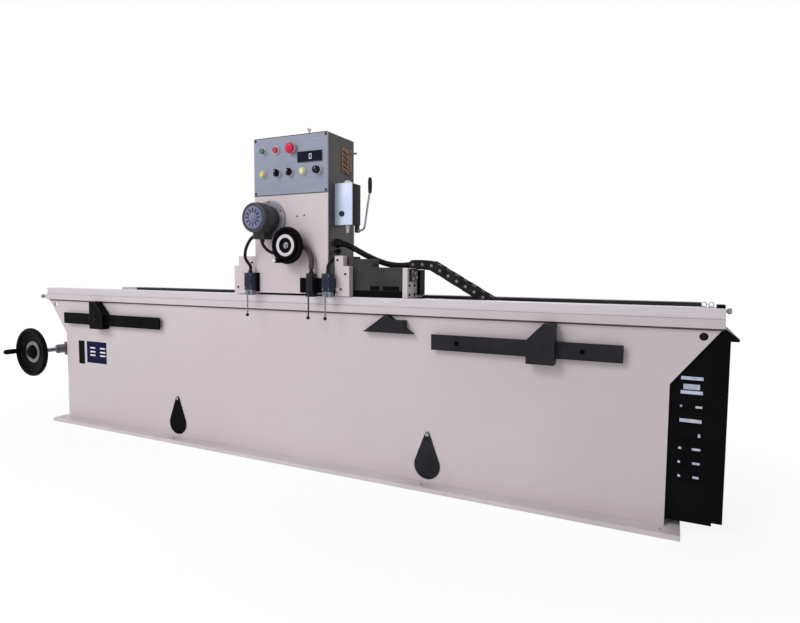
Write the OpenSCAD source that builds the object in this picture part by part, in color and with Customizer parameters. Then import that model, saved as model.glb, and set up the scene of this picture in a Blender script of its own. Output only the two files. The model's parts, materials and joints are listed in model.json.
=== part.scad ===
// Planer knife grinder: a long floor bed, a travelling grinding carriage and a tilting knife table.
// Millimetres. X runs along the bed, Y from the operator's side to the rear, Z up from the floor.
// The origin lies on the floor at the middle of the anchor holes.

/* [Bed] */
// Length of the guide ways
rail_len = 3840; // [3700:10:4100]
// Height of the rail tops above the floor
rail_top = 850; // [820:5:900]
// Depth of the bed over its front and rear plates
bed_depth = 480; // [470:5:540]
// Overhang of the ways past the foot of the plates at each end
flare_out = 170; // [160:2:190]
// Height at which the plates begin to flare
kink_h = 562; // [520:2:600]
// Thickness of the bed plates
plate_t = 12; // [8:1:16]
// Height of the cross plates that carry the tray
tray_z = 632; // [600:2:640]

/* [Feet] */
// Thickness of the foot flanges
foot_t = 20; // [14:1:26]
// Width of each foot flange
foot_w = 175; // [150:5:200]
// Reach of a foot flange outside its plate
foot_reach = 72; // [60:2:90]
// Overhang of the foot flanges past the plates at each end
foot_over = 55; // [45:1:80]
// Diameter of the anchor holes
anchor_d = 22; // [16:1:28]
// Distance of the inner anchor holes from the middle
anchor_mid_x = 770; // [600:10:1000]

/* [Ways] */
// Width of the strip under each rail
strip_w = 110; // [100:2:120]
// Thickness of the strip under each rail
strip_t = 33; // [26:1:40]
// Overhang of the strips outside the plates
strip_lip = 20; // [14:1:26]
// Width of a rail
rail_w = 80; // [70:1:88]
// Height of a rail
rail_h = 40; // [36:1:46]
// Set-back of a rail from the edge of its strip
rail_setback = 10; // [6:1:14]

/* [Trip dogs] */
// Height of the dog bars
bar_h = 68; // [56:1:76]
// Thickness of the dog bars
bar_t = 12; // [8:1:14]
// Gap between the front plate and the dog bars
bar_gap = 18; // [16:1:24]
// Height of the middle of the dog bars below the strips
bar_drop = 113; // [108:1:130]
// Length of the left dog bar
left_bar_len = 844; // [760:4:900]
// Length of the right dog bar
right_bar_len = 788; // [700:4:860]
// Width of a trip dog
dog_w = 112; // [100:2:130]
// Height of a trip dog
dog_h = 165; // [158:1:172]

/* [Access covers] */
// Distance of the access covers from the middle
cover_x = 775; // [700:5:850]
// Radius of the round end of a cover
cover_r = 63; // [56:1:66]
// Distance from the pivot of a cover to its round end
cover_len = 143; // [130:1:160]
// Thickness of a cover
cover_t = 4; // [3:0.5:6]

/* [Drive guard] */
// Reach of the guard past the ends of the ways
guard_out = 21; // [16:1:30]
// Thickness of the guard sheet
guard_t = 3; // [2:0.5:5]
// Height of the lower edge of the guard
guard_bottom = 44; // [36:2:100]
// Number of louvers
louver_count = 8; // [6:1:8]
// Width of a louver
louver_w = 73; // [60:1:80]
// Height of a louver
louver_h = 18; // [12:1:24]
// Distance between louvers
louver_pitch = 52.8; // [44:0.4:54]

/* [Traverse drive] */
// Radius of the chain sprockets
sprocket_r = 42; // [36:1:46]
// Thickness of the traverse chain
chain_t = 8; // [6:0.5:10]
// Width of the traverse chain
chain_w = 16; // [12:1:18]
// Distance of the sprockets from the ends of the ways
sprocket_inset = 90; // [86:1:94]

/* [Drag chain] */
// Pitch of the drag chain links
link_pitch = 48; // [40:1:56]
// Height of a drag chain link
link_h = 48; // [40:1:54]
// Width of a drag chain link
link_w = 60; // [50:1:66]
// Height of the start of the drag chain above the rails
chain_rise = 155; // [145:1:165]

/* [Saddle] */
// Place of the middle of the column along the bed at rest
carriage_x = 42; // [30:1:60]
// Thickness of the saddle plate
saddle_t = 30; // [24:1:36]
// Reach of the saddle to the left of the column
saddle_left = 146; // [140:1:160]
// Reach of the saddle to the right of the column
saddle_right = 374; // [350:1:380]
// Height of the gear housing on the saddle
housing_h = 110; // [90:1:120]

/* [Column] */
// Width of the column
column_w = 440; // [430:2:460]
// Depth of the column
column_d = 238; // [230:2:244]
// Height of the column above the rails
column_h = 777; // [760:1:800]
// Thickness of the column sheet
sheet_t = 6; // [4:0.5:8]

/* [Control panel] */
// Height of the control panel
panel_h = 280; // [270:1:300]
// Stand-out of the control panel from the column front
panel_proud = 2; // [1:0.5:3]
// Radius of the caps of the push buttons
button_r = 15; // [12:0.5:17]
// Radius of the collars of the controls
collar_r = 20.5; // [19:0.5:24]
// Radius of the emergency button
mushroom_r = 26; // [24:0.5:30]

/* [Head feed] */
// Radius of the feed handwheel
feed_wheel_r = 90; // [80:1:94]
// Radius of the flange of the feed motor
motor_flange_r = 94; // [84:1:96]
// Radius of the body of the feed motor
motor_r = 75; // [68:1:80]
// Length of the feed motor
motor_len = 135; // [120:1:150]
// Radius of the feed shaft
feed_shaft_r = 10; // [8:0.5:12]
// Radius of the feed screw
feed_screw_r = 14; // [12:0.5:16]
// Radius of the pinion on the feed motor
pinion_r = 40; // [36:1:48]

/* [Grinding head] */
// Radius of the cup wheel
cup_r = 100; // [90:1:110]
// Wall of the cup wheel
cup_wall = 25; // [20:1:32]
// Depth of the cup wheel
cup_h = 60; // [50:1:70]
// Radius of the grinding motor
spindle_motor_r = 95; // [85:1:98]
// Length of the grinding motor
spindle_motor_h = 290; // [260:2:320]
// Radius of the grinding spindle
spindle_r = 20; // [16:1:24]

/* [Knife table] */
// Length of the knife table
table_len = 3000; // [2900:10:3060]
// Width of the chuck face
chuck_w = 200; // [180:2:204]
// Thickness of the chuck plate
chuck_t = 40; // [34:1:46]
// Side of the hollow beam under the chuck
beam_w = 120; // [110:2:130]
// Wall of the beam
beam_wall = 12; // [8:1:16]
// Radius of the trunnions
trunnion_r = 25; // [20:1:30]

/* [Table drive] */
// Radius of the table handwheel
table_wheel_r = 158; // [140:1:170]
// Radius of the worm shaft
worm_shaft_r = 15; // [12:0.5:18]
// Radius of the worm
worm_r = 30; // [26:1:34]
// Height of the worm shaft above the floor
worm_z = 430; // [420:1:440]

/* [Oil pump] */
// Width of the oil pump
pump_w = 98; // [90:1:106]
// Depth of the oil pump
pump_d = 85; // [76:1:94]
// Height of the oil pump
pump_h = 200; // [180:2:220]

/* [Limit switches] */
// Width of a limit switch
switch_w = 52; // [44:1:56]
// Height of a limit switch
switch_h = 112; // [100:1:120]
// Thickness of a limit switch
switch_d = 38; // [34:1:42]
// Length of a switch lever
lever_len = 114; // [100:1:116]
// Radius of the ball on a switch lever
lever_ball_r = 7; // [5:0.5:9]

/* [Cables] */
// Radius of the trunk conduit
trunk_r = 15; // [11:0.5:15]
// Radius of the switch and motor cables
cable_r = 8; // [6:0.5:9]

/* [Hidden] */
$fn = 64;

// Colours
paint = [0.80, 0.76, 0.765];
black = [0.06, 0.06, 0.065];
steel = [0.66, 0.67, 0.69];
iron = [0.26, 0.26, 0.27];

// Clearances shared by the whole machine
cut = 4;
run_fit = 0.06;
slide_gap = 0.3;
mesh_gap = 0.5;

// Planes of the bed
plate_len = rail_len - 2 * flare_out;
front_y = -bed_depth / 2;
rear_y = bed_depth / 2;
inner_front = front_y + plate_t;
inner_rear = rear_y - plate_t;
strip_top = rail_top - rail_h;
strip_bottom = strip_top - strip_t;
strip_front = front_y - strip_lip;
strip_inner = strip_front + strip_w;
rail_front = strip_front + rail_setback;
rail_inner = rail_front + rail_w;
end_inset = 6;
bed_end_x = plate_len / 2 - end_inset;
flare_inset = 4;
flare_top_x = rail_len / 2 - flare_inset;
tray_t = 8;
tray_top = tray_z + tray_t;
rib_shares = [-1, -0.66, -0.33, 0, 0.33, 0.66, 1];

// Lifting and access holes
lift_d = 30;
lift_edge = 29;
lift_drop = 32;
flare_slope = (flare_top_x - plate_len / 2) / (strip_bottom - kink_h);
lift_x = flare_top_x - lift_drop * flare_slope - lift_edge * norm([1, flare_slope]);
lift_z = strip_bottom - lift_drop;
access_d = 90;
access_z = 97;
cover_pivot_z = access_z + cover_len;
cover_tip_r = 12;
cover_pin_r = 6;
cover_head_r = 10;
cover_head_t = 5;
cover_tip_steps = 10;
cover_round_steps = 36;

// Anchor holes
anchor_inset = 5;
anchor_end_x = plate_len / 2 - anchor_inset;
anchor_y = rear_y + foot_reach / 2;

// Ends of the ways
end_bar_t = 20;
rear_rail_start = 320;
rear_rail_end = 60;
rear_block_len = 150;
end_bolt_r = 8;
end_bolt_len = 55;
end_bolt_head_r = 14;
end_bolt_head_t = 10;

// Traverse drive
sprocket_x = rail_len / 2 - sprocket_inset;
sprocket_drop = 37;
sprocket_z = strip_bottom - sprocket_drop;
sprocket_w = 12;
sprocket_hub_r = 22;
sprocket_shaft_r = 12;
chain_inner_r = sprocket_r + mesh_gap;
chain_outer_r = chain_inner_r + chain_t;
yoke_gap = 28;
yoke_t = 12;
yoke_reach = 20;
yoke_top_drop = 10;
gearbox_w = 100;
gearbox_y = 25;
gearbox_d = 100;
gearbox_up = 30;
gearbox_down = 150;
gearbox_seat = 30;
drive_motor_r = 66;
drive_motor_len = 280;
drive_cap_len = 50;
drive_cap_r = 60;
motor_foot_h = 40;
motor_foot_inset = 12;

// Drive guard
guard_x1 = rail_len / 2 + guard_out;
guard_notch_w = 35;
guard_notch_h = 12;
louver_first_rise = 27;
louver_inset = 37;
louver_x0 = plate_len / 2 + louver_inset;
louver_out = 9;
louver_sheet_share = 0.2;
lift_clear = 4;
roof_out = 48;
roof_fall = 37;
roof_t = 10;
guard_top = strip_bottom - roof_fall * guard_out / roof_out - roof_t / 2;

// Dog bars and dogs
bar_z = strip_bottom - bar_drop;
bar_back = front_y - bar_gap;
bar_front = bar_back - bar_t;
left_bar_inset = 23;
right_bar_inset = 162;
left_bar_x0 = -plate_len / 2 + left_bar_inset;
right_bar_x0 = plate_len / 2 - right_bar_inset - right_bar_len;
bar_screw_shares = [0.15, 0.81];
bar_screw_r = 6;
bar_spacer_r = 14;
bar_head_r = 11;
bar_head_t = 3;
left_dog_place_share = 0.404;
right_dog_place_share = 0.609;
left_dog_x = left_bar_x0 + left_dog_place_share * left_bar_len;
right_dog_x = right_bar_x0 + right_dog_place_share * right_bar_len;
dog_face_t = 30;
dog_back_t = 8;
dog_front_y = bar_front - slide_gap - dog_face_t;
dog_back_y = bar_back + slide_gap + dog_back_t;
left_dog_gap = 2;
right_dog_gap = 7;
dog_slot_gap = 2;
dog_ramp_z_share = 0.58;
dog_ramp_x_share = 0.6;
dog_screw_r = 10;
dog_screw_t = 8;

// Middle trip cam, as shares of its own length and height
cam_x = 583;
cam_len = 250;
cam_h = 84;
cam_t = 34;
cam_apex_share = 0.47;
cam_block_shares = [0.64, 0.84, 0.71];

// Plates on the front
name_plate_w = 182;
name_plate_h = 135;
name_plate_z = 387;
name_plate_inset = 195;
index_plate_w = 54;
index_plate_h = 146;
index_plate_z = 375;
index_plate_inset = 117;
label_t = 2;

// Drag chain route
lane_inset = 150;
lane_y = front_y + lane_inset;
link_top_z = rail_top + chain_rise;
link_low_z = tray_top + link_h / 2;
link_bend_r = 75;
link_run_z = link_low_z + 2 * link_bend_r;
link_drop_len = 340;
link_run_len = 160;
link_tail_len = 850;
link_neck_share = 0.68;
link_gap_share = 0.2;

// Column and saddle planes
col_x0 = carriage_x - column_w / 2;
col_x1 = carriage_x + column_w / 2;
column_lead = 8;
column_front_y = strip_front - column_lead;
column_back_y = column_front_y + column_d;
column_top = rail_top + column_h;
column_gap = 10;
case_front_y = column_front_y + sheet_t;
saddle_z = rail_top + slide_gap;
saddle_top = saddle_z + saddle_t;
saddle_x0 = col_x0 - saddle_left;
saddle_x1 = col_x1 + saddle_right;
saddle_setback = 25;
saddle_front_y = rail_front + saddle_setback;
saddle_back_y = -rail_front;
guide_w = 14;
guide_lift = 2;
lug_w = 60;
lug_d = 18;
housing_d = 100;
housing_step_share = 0.4;
housing_step_h = 40;
housing_step_inset = 30;
saddle_rear_cut = 120;
end_block_w = 26;
end_block_d = 70;
end_block_h = 138;
end_block_low_h = 118;
end_block_gap = 5;
bracket_t = 15;
bracket_deck_t = 6;
bracket_deck_len = 37;
bracket_base_h = 12;
deck_over = 48;
chain_x0 = saddle_x1 + end_block_w + bracket_t - bracket_deck_len;
chain_x1 = saddle_x1 + end_block_w + bracket_t + deck_over;

// Stepped end blocks beside the column
block_t = 37;
block_lift = 2;
right_block_gap = 33;
right_block_w = 81;
right_block_top_w = 48;
block_low_h = 146;
block_high_h = 195;
left_block_w = 145;
left_block_gap = 1;
left_block_top_w = 116;
housing_x0 = col_x1 + right_block_gap + right_block_w;

// Column case details
grille_y = 124;
grille_w = 66;
grille_slots = 6;
grille_slot_h = 8;
grille_pitch = 19;
grille_drop = 74;
eye_x = 139;
eye_back = 24;
eye_r = 9;
eye_h = 34;
eye_stem_r = 5;
eye_hole_r = 4;
latch_drop = 62;
latch_r = 5;
latch_len = 26;
latch_inset = 14;

// Control panel
panel_face_y = column_front_y - panel_proud;
panel_z0 = column_top - panel_h;
stem_gap = 0.3;
panel_hole_r = button_r + stem_gap;
collar_out = 9;
button_out = 18;
button_in = 14;
panel_screw_r = 5;
panel_screw_out = 2;
panel_screw_inset = 10;
display_u_shares = [0.61, 0.93];
display_v_shares = [0.295, 0.475];
display_out = 5;
display_rim = 6;
display_sink = 3;
row_shares = [0.226, 0.626];
green_u_share = 0.135;
red_u_share = 0.32;
emergency_u_share = 0.535;
left_selector_u_share = 0.335;
middle_selector_u_share = 0.508;
pale_u_share = 0.682;
knob_u_share = 0.875;
mushroom_gap = 9;
mushroom_t = 10;
mushroom_dome = 8;
selector_r = 18;
selector_t = 6;
selector_bar_w = 12;
selector_bar_t = 14;
knob_r = 19;
knob_t = 20;

// Head feed
motor_left = 121;
motor_rise = 376;
motor_x = carriage_x - motor_left;
motor_z = rail_top + motor_rise;
motor_flange_t = 14;
motor_cap_r_share = 0.97;
motor_cap_len = 30;
motor_seat = 30;
motor_box_w = 70;
motor_box_h = 26;
motor_box_len = 60;
feed_right = 26;
feed_rise = 243;
feed_x = carriage_x + feed_right;
feed_z = rail_top + feed_rise;
feed_wheel_stand = 46;
feed_wheel_t = 26;
feed_rim_w = 22;
feed_web_t = 10;
feed_hub_r = 22;
feed_handle_r = 10;
feed_handle_len = 76;
feed_handle_inset = 12;
feed_handle_turn = -108;
gear_y_gap = 60;
gear_t = 20;
gear_dist = norm([feed_x - motor_x, feed_z - motor_z]);
gear_r = gear_dist - pinion_r - mesh_gap;
pinion_shaft_r = 9;
bevel_r = 24;
bevel_face = 12;
post_gap = 50;
post_left = 302;
post_right = 88;
post_x0 = carriage_x - post_left;
post_x1 = carriage_x + post_right;
post_y = column_back_y + post_gap;
post_back_t = 20;
post_d = 130;
post_wall = 30;
post_rise = 610;
post_top = rail_top + post_rise;
post_cap_t = 20;
post_shelf_t = 14;
post_rear_y = post_y + post_d;
screw_y = post_y + post_d / 2;
shelf_gap = 22;
shelf_z = feed_z + bevel_r + shelf_gap;

// Grinding head
head_left = 222;
head_reach = 180;
head_x = carriage_x - head_left;
head_y = rear_y + head_reach;
slide_t = 25;
slide_rise = 230;
slide_z0 = rail_top + slide_rise;
slide_h = 250;
slide_y = post_rear_y + slide_gap;
lip_w = 15;
lip_d = 40;
nut_half = 25;
nut_rise = 390;
nut_z0 = rail_top + nut_rise;
nut_h = 40;
arm_w = 160;
arm_h = 190;
arm_rise = 250;
arm_z0 = rail_top + arm_rise;
pad_t = 5;
arm_end_y = head_y - spindle_motor_r - pad_t;
pad_w = 120;
cup_rise = 40;
cup_z = rail_top + cup_rise;
cup_back = 15;
hub_r = 50;
hub_t = 12;
nose_r = 40;
nose_h = 55;
nose_gap = 35;
nose_z = cup_z + cup_h + nose_gap;
spindle_seat = 30;
spindle_motor_z = nose_z + nose_h;
motor_cap_h = 40;
motor_cap_shrink = 6;
terminal_w = 70;
terminal_h = 90;
terminal_d = 45;
hood_gap = 18;
hood_t = 6;
hood_drop = 15;
hood_r = cup_r + hood_gap + hood_t;
hood_top_t = 10;
hood_bore_r = 30;
hood_open_share = 0.35;

// Knife table
table_y = head_y;
table_drop = 210;
table_z = rail_top - table_drop;
chuck_rise = 130;
chuck_top = table_z + chuck_rise;
web_w = 80;
bracket_gap = 45;
bracket_w = 30;
bracket_x = table_len / 2 + bracket_gap;
bracket_r = 60;
bracket_up = 80;
bracket_down = 100;
trunnion_flange_r = 55;
trunnion_flange_t = 12;
trunnion_tail = 12;
worm_out = 250;
worm_x = plate_len / 2 + worm_out;
worm_wheel_r = table_z - worm_z - worm_r - mesh_gap;
worm_wheel_t = 28;
worm_wheel_hub_r = 45;
worm_wheel_hub_t = 60;
worm_wheel_hole_r = 40;
worm_wheel_hole_share = 0.6;
worm_wheel_holes = 5;

// Table drive
worm_len = 120;
table_wheel_lead = 75;
table_wheel_y = front_y - table_wheel_lead;
table_wheel_t = 30;
table_rim_w = 30;
table_web_t = 12;
table_hub_r = 34;
table_hub_len = 40;
table_handle_r = 13;
table_handle_len = 96;
table_handle_inset = 24;
worm_tube_r = 30;
worm_tube_set = 95;
worm_tube_gap = 20;
worm_tube_y0 = front_y + worm_tube_set;
worm_tube_y1 = table_y - worm_len / 2 - worm_tube_gap;
worm_arm_t = 20;
worm_arm_h = 90;
worm_arm_shares = [0.12, 0.62];
worm_tail = 25;

// Oil pump
pump_set = 58;
pump_rise = 343;
pump_y = column_front_y + pump_set;
pump_z0 = rail_top + pump_rise;
pump_cap_r = 22;
pump_cap_h = 16;
pump_outlet_r = 12;
pump_outlet_h = 34;
pump_glass_r = 14;
pump_glass_out = 8;
pump_glass_shares = [0.42, 0.27];
pump_lug_w = 14;
pump_lug_h = 34;
pump_lug_d = 26;
pump_pin_r = 6;
lever_pin_in = 10;
lever_rod_r = 5;
lever_step = 42;
lever_low = 22;
lever_grip_r = 10;
lever_grip_len = 76;
lever_rise = 165;
lever_lean = 27;
lever_set = 60;
lever_drop = 24;
pump_lever_y = pump_y + lever_set;
pump_lever_z = pump_z0 - lever_drop;

// Limit switches
switch_back_y = column_front_y;
switch_drop = 2;
switch_left_out = 10;
switch_mid_in = 78;
switch_right_out = 18;
switch_z0 = rail_top - switch_drop;
switch_left_x = col_x0 - switch_left_out;
switch_mid_x = col_x1 - switch_mid_in;
switch_right_x = col_x1 + switch_right_out;
switch_seat_t = 8;
switch_front_y = switch_back_y - switch_seat_t - switch_d;
lever_rod_thin_r = 3;
lever_pin_r = 4;
lever_pin_reach = 12;
lever_hub_r = 9;
lever_hub_t = 9;
lever_pivot_rise = 14;
switch_pivot_z = switch_z0 + lever_pivot_rise;
bar_plate_w = 160;
bar_plate_h = 72;
bar_plate_rise = 16;
switch_gland_r = 10;
switch_gland_h = 14;

// Cable routes, points chosen along the photographed runs
cable_lead = 20;
motor_box_z = motor_z - motor_r - motor_box_h;
motor_box_gap = 20;
motor_box_y = column_front_y - motor_flange_t - motor_box_gap;
motor_gland_y = motor_box_y - motor_box_len / 2;
motor_gland_rise = 15;
switch_gland_y = switch_front_y + switch_d / 2;
switch_gland_z = switch_z0 + switch_h + switch_gland_h;
trunk_set = 155;
trunk_rise = 258;
trunk_start = [col_x1, column_back_y - trunk_set, rail_top + trunk_rise];
trunk_mid = [
    [315, -182, 1099], [350, -173, 1082], [400, -150, 1052],
    [450, -124, 1026], [500, -102, 1008], [560, -94, 1001]
];
trunk_end = [chain_x0, lane_y, link_top_z];
left_cable_start = [motor_x - motor_box_w / 2, motor_gland_y, motor_box_z + motor_gland_rise];
left_cable_mid = [[-166, -328, 1116], [-196, -320, 1074], [-206, -310, 1032]];
left_cable_end = [switch_left_x, switch_gland_y, switch_gland_z];
drop_cable_start = [motor_x, motor_gland_y, motor_box_z];
drop_cable_mid = [
    [-58, -326, 1076], [-30, -306, 1058], [20, -291, 1060], [68, -291, 1066],
    [110, -291, 1081], [142, -291, 1086], [170, -291, 1060], [184, -293, 1024]
];
drop_cable_end = [switch_mid_x, switch_gland_y, switch_gland_z];
right_cable_set = 90;
right_cable_rise = 220;
right_cable_start = [col_x1, column_front_y + right_cable_set, rail_top + right_cable_rise];
right_cable_mid = [[284, -206, 1059], [280, -236, 1037], [278, -270, 1013]];
right_cable_end = [switch_right_x, switch_gland_y, switch_gland_z];
tube_sides = 8;
curve_steps = 3;

// A block between two opposite corners
module block(low, high) {
    translate(low) cube(high - low);
}

module rod_x(y, z, x0, x1, r) {
    translate([x0, y, z]) rotate([0, 90, 0]) cylinder(h = x1 - x0, r = r);
}

module rod_y(x, z, y0, y1, r) {
    translate([x, y0, z]) rotate([-90, 0, 0]) cylinder(h = y1 - y0, r = r);
}

module rod_z(x, y, z0, z1, r) {
    translate([x, y, z0]) cylinder(h = z1 - z0, r = r);
}

// Extrudes an outline drawn in X and Z along Y
module slab_y(y0, y1) {
    translate([0, y1, 0]) rotate([90, 0, 0]) linear_extrude(y1 - y0) children();
}

// Extrudes an outline drawn in Y and Z along X
module slab_x(x0, x1) {
    translate([x0, 0, 0]) rotate([90, 0, 90]) linear_extrude(x1 - x0) children();
}

// Skin over a list of rings with equal numbers of points
module skin(rings) {
    n = len(rings[0]);
    m = len(rings);
    sides = [for (i = [0 : m - 2]) for (j = [0 : n - 1]) for (half = [0, 1])
        let (k = (j + 1) % n)
        half == 0 ? [i * n + j, (i + 1) * n + j, (i + 1) * n + k] : [i * n + j, (i + 1) * n + k, i * n + k]];
    start_cap = [for (j = [1 : n - 2]) [0, j, j + 1]];
    end_cap = [for (j = [1 : n - 2]) [(m - 1) * n, (m - 1) * n + j + 1, (m - 1) * n + j]];
    polyhedron(points = [for (ring = rings) for (p = ring) p], faces = concat(sides, start_cap, end_cap));
}

function unit(v) = v / norm(v);
function bend(a, b, c, d, t) = (2 * b + (c - a) * t + (2 * a - 5 * b + 4 * c - d) * t * t
    + (3 * b - a - 3 * c + d) * t * t * t) / 2;
function smooth(p) = let (last = len(p) - 1) concat(
    [for (i = [0 : last - 1]) for (j = [0 : curve_steps - 1])
        bend(p[max(i - 1, 0)], p[i], p[i + 1], p[min(i + 2, last)], j / curve_steps)], [p[last]]);
function tube_rings(p, r, side, first_dir, last_dir) = let (last = len(p) - 1) [for (i = [0 : last])
    let (t = i == 0 ? first_dir : i == last ? last_dir : unit(p[i + 1] - p[i - 1]),
        u = unit(cross(t, side)), v = cross(t, u))
    [for (k = [0 : tube_sides - 1]) let (a = k * 360 / tube_sides) p[i] + r * (cos(a) * u + sin(a) * v)]];

// A cable that leaves one seat and enters another squarely; side is a direction that it never takes
module cable(start, first_dir, mid, end, last_dir, r, side) {
    route = concat([start, start + cable_lead * first_dir], mid, [end - cable_lead * last_dir, end]);
    skin(tube_rings(smooth(route), r, side, first_dir, last_dir));
}

// Bed

module plate_outline() {
    polygon([
        [-plate_len / 2, foot_t], [plate_len / 2, foot_t], [plate_len / 2, kink_h],
        [flare_top_x, strip_bottom], [-flare_top_x, strip_bottom], [-plate_len / 2, kink_h]
    ]);
}

module front_plate() {
    color(paint) difference() {
        slab_y(front_y, inner_front) plate_outline();
        for (side = [-1, 1]) {
            rod_y(side * lift_x, lift_z, front_y - cut, inner_front + cut, lift_d / 2);
            rod_y(side * cover_x, access_z, front_y - cut, inner_front + cut, access_d / 2);
        }
    }
}

module rear_plate() {
    color(paint) difference() {
        slab_y(inner_rear, rear_y) plate_outline();
        for (side = [-1, 1])
            rod_y(side * lift_x, lift_z, inner_rear - cut, rear_y + cut, lift_d / 2);
    }
}

module cross_plates() {
    color(paint) for (share = rib_shares) {
        x = share * (bed_end_x - plate_t / 2);
        block([x - plate_t / 2, inner_front, foot_t], [x + plate_t / 2, inner_rear, tray_z]);
    }
}

module chain_tray() {
    color(paint) block([-bed_end_x, inner_front, tray_z], [bed_end_x, inner_rear, tray_top]);
}

module foot_flange() {
    x = plate_len / 2 + foot_over;
    difference() {
        block([-x, front_y - foot_reach, 0], [x, front_y - foot_reach + foot_w, foot_t]);
        for (place = [-anchor_end_x, -anchor_mid_x, anchor_mid_x, anchor_end_x])
            rod_z(place, -anchor_y, -cut, foot_t + cut, anchor_d / 2);
    }
}

module foot_flanges() {
    color(paint) {
        foot_flange();
        mirror([0, 1, 0]) foot_flange();
    }
}

module idler_yoke() {
    x0 = -rail_len / 2 + end_bar_t;
    for (side = [-1, 1]) {
        y = side * (yoke_gap + yoke_t) / 2;
        block([x0, y - yoke_t / 2, sprocket_z - yoke_reach],
            [-sprocket_x + yoke_reach, y + yoke_t / 2, strip_top - yoke_top_drop]);
    }
}

module way_frame() {
    x = rail_len / 2;
    color(paint) difference() {
        union() {
            for (side = [0, 1]) mirror([0, side, 0])
                block([-x, strip_front, strip_bottom], [x, strip_inner, strip_top]);
            for (side = [0, 1]) mirror([side, 0, 0])
                block([-x, strip_inner, strip_bottom], [-x + end_bar_t, -strip_inner, strip_top]);
            block([-x + rear_rail_start - rear_block_len, -rail_inner, strip_top],
                [-x + rear_rail_start, -rail_front, rail_top]);
            idler_yoke();
        }
        rod_y(-sprocket_x, sprocket_z, -yoke_gap, yoke_gap, sprocket_shaft_r + run_fit);
    }
}

module guide_rails() {
    x = rail_len / 2;
    color(steel) {
        block([-x, rail_front, strip_top], [x, rail_inner, rail_top]);
        block([-x + rear_rail_start, -rail_inner, strip_top], [x - rear_rail_end, -rail_front, rail_top]);
    }
}

// A flush screw through a dog bar, with its spacer behind
module bar_screw(x, spacer_r) {
    rod_y(x, bar_z, bar_back, front_y, spacer_r);
    rod_y(x, bar_z, bar_front + bar_head_t, bar_back, bar_screw_r);
    rod_y(x, bar_z, bar_front, bar_front + bar_head_t, bar_head_r);
}

module end_bolt(y) {
    x = rail_len / 2;
    z = strip_top - strip_t / 2;
    rod_x(y, z, x, x + end_bolt_len, end_bolt_r);
    rod_x(y, z, x + end_bolt_len, x + end_bolt_len + end_bolt_head_t, end_bolt_head_r, $fn = 6);
}

module bed_fasteners() {
    color(steel) {
        for (share = bar_screw_shares) {
            bar_screw(left_bar_x0 + share * left_bar_len, bar_spacer_r);
            bar_screw(right_bar_x0 + share * right_bar_len, bar_spacer_r);
        }
        for (side = [-1, 1]) {
            pin_end = front_y - cover_t - 2 * slide_gap;
            rod_y(side * cover_x, cover_pivot_z, pin_end, front_y, cover_pin_r);
            rod_y(side * cover_x, cover_pivot_z, pin_end - cover_head_t, pin_end, cover_head_r);
        }
        mirror([1, 0, 0]) end_bolt(front_y);
    }
}

module louver_hood(z) {
    sheet = louver_sheet_share * louver_out;
    slab_x(louver_x0, louver_x0 + louver_w) polygon([
        [inner_front, z + louver_h / 2], [inner_front - louver_out, z - louver_h / 2],
        [inner_front - louver_out + sheet, z - louver_h / 2], [inner_front, z + louver_h / 2 - 2 * sheet]
    ]);
}

module guard_panel(y0, y1) {
    difference() {
        slab_y(y0, y1) polygon([
            [bed_end_x, guard_bottom], [guard_x1 - guard_notch_w, guard_bottom],
            [guard_x1 - guard_notch_w, guard_bottom + guard_notch_h],
            [guard_x1, guard_bottom + guard_notch_h], [guard_x1, guard_top],
            [rail_len / 2, strip_bottom], [bed_end_x, strip_bottom]
        ]);
        rod_y(lift_x, lift_z, y0 - cut, y1 + cut, lift_d / 2 + lift_clear);
    }
}

module drive_guard() {
    color(black) {
        difference() {
            guard_panel(inner_front, inner_front + guard_t);
            for (i = [0 : louver_count - 1]) {
                z = kink_h + louver_first_rise - i * louver_pitch;
                top = z + louver_h / 2 - louver_sheet_share * louver_h;
                block([louver_x0, inner_front - cut, z - louver_h / 2],
                    [louver_x0 + louver_w, inner_front + guard_t + cut, top]);
            }
        }
        for (i = [0 : louver_count - 1]) louver_hood(kink_h + louver_first_rise - i * louver_pitch);
        guard_panel(inner_rear - guard_t, inner_rear);
        block([guard_x1 - guard_t, inner_front, guard_bottom + guard_notch_h],
            [guard_x1, inner_rear, guard_top]);
        slab_y(inner_front, inner_rear) polygon([
            [rail_len / 2, strip_bottom], [rail_len / 2 + roof_out, strip_bottom - roof_fall],
            [rail_len / 2 + roof_out, strip_bottom - roof_fall - roof_t],
            [rail_len / 2, strip_bottom - roof_t]
        ]);
    }
}

module traverse_gearmotor() {
    x0 = sprocket_x - gearbox_w / 2;
    z0 = sprocket_z - gearbox_down;
    y_mid = gearbox_y + gearbox_d / 2;
    color(iron) difference() {
        union() {
            block([x0, gearbox_y, z0], [x0 + gearbox_w, gearbox_y + gearbox_d, sprocket_z + gearbox_up]);
            rod_z(sprocket_x, y_mid, z0 - drive_motor_len, z0, drive_motor_r);
            rod_z(sprocket_x, y_mid, z0 - drive_motor_len - drive_cap_len, z0 - drive_motor_len, drive_cap_r);
            block([bed_end_x, gearbox_y + motor_foot_inset, tray_z - motor_foot_h],
                [x0, gearbox_y + gearbox_d - motor_foot_inset, tray_z]);
        }
        rod_y(sprocket_x, sprocket_z, gearbox_y - cut, gearbox_y + gearbox_seat + mesh_gap,
            sprocket_shaft_r + run_fit);
    }
}

module chain_loop(r, y) {
    for (side = [-1, 1]) rod_y(side * sprocket_x, sprocket_z, -y, y, r);
    block([-sprocket_x, -y, sprocket_z - r], [sprocket_x, y, sprocket_z + r]);
}

module traverse_chain() {
    color(steel) difference() {
        chain_loop(chain_outer_r, chain_w / 2);
        chain_loop(chain_inner_r, chain_w / 2 + cut);
    }
}

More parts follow.
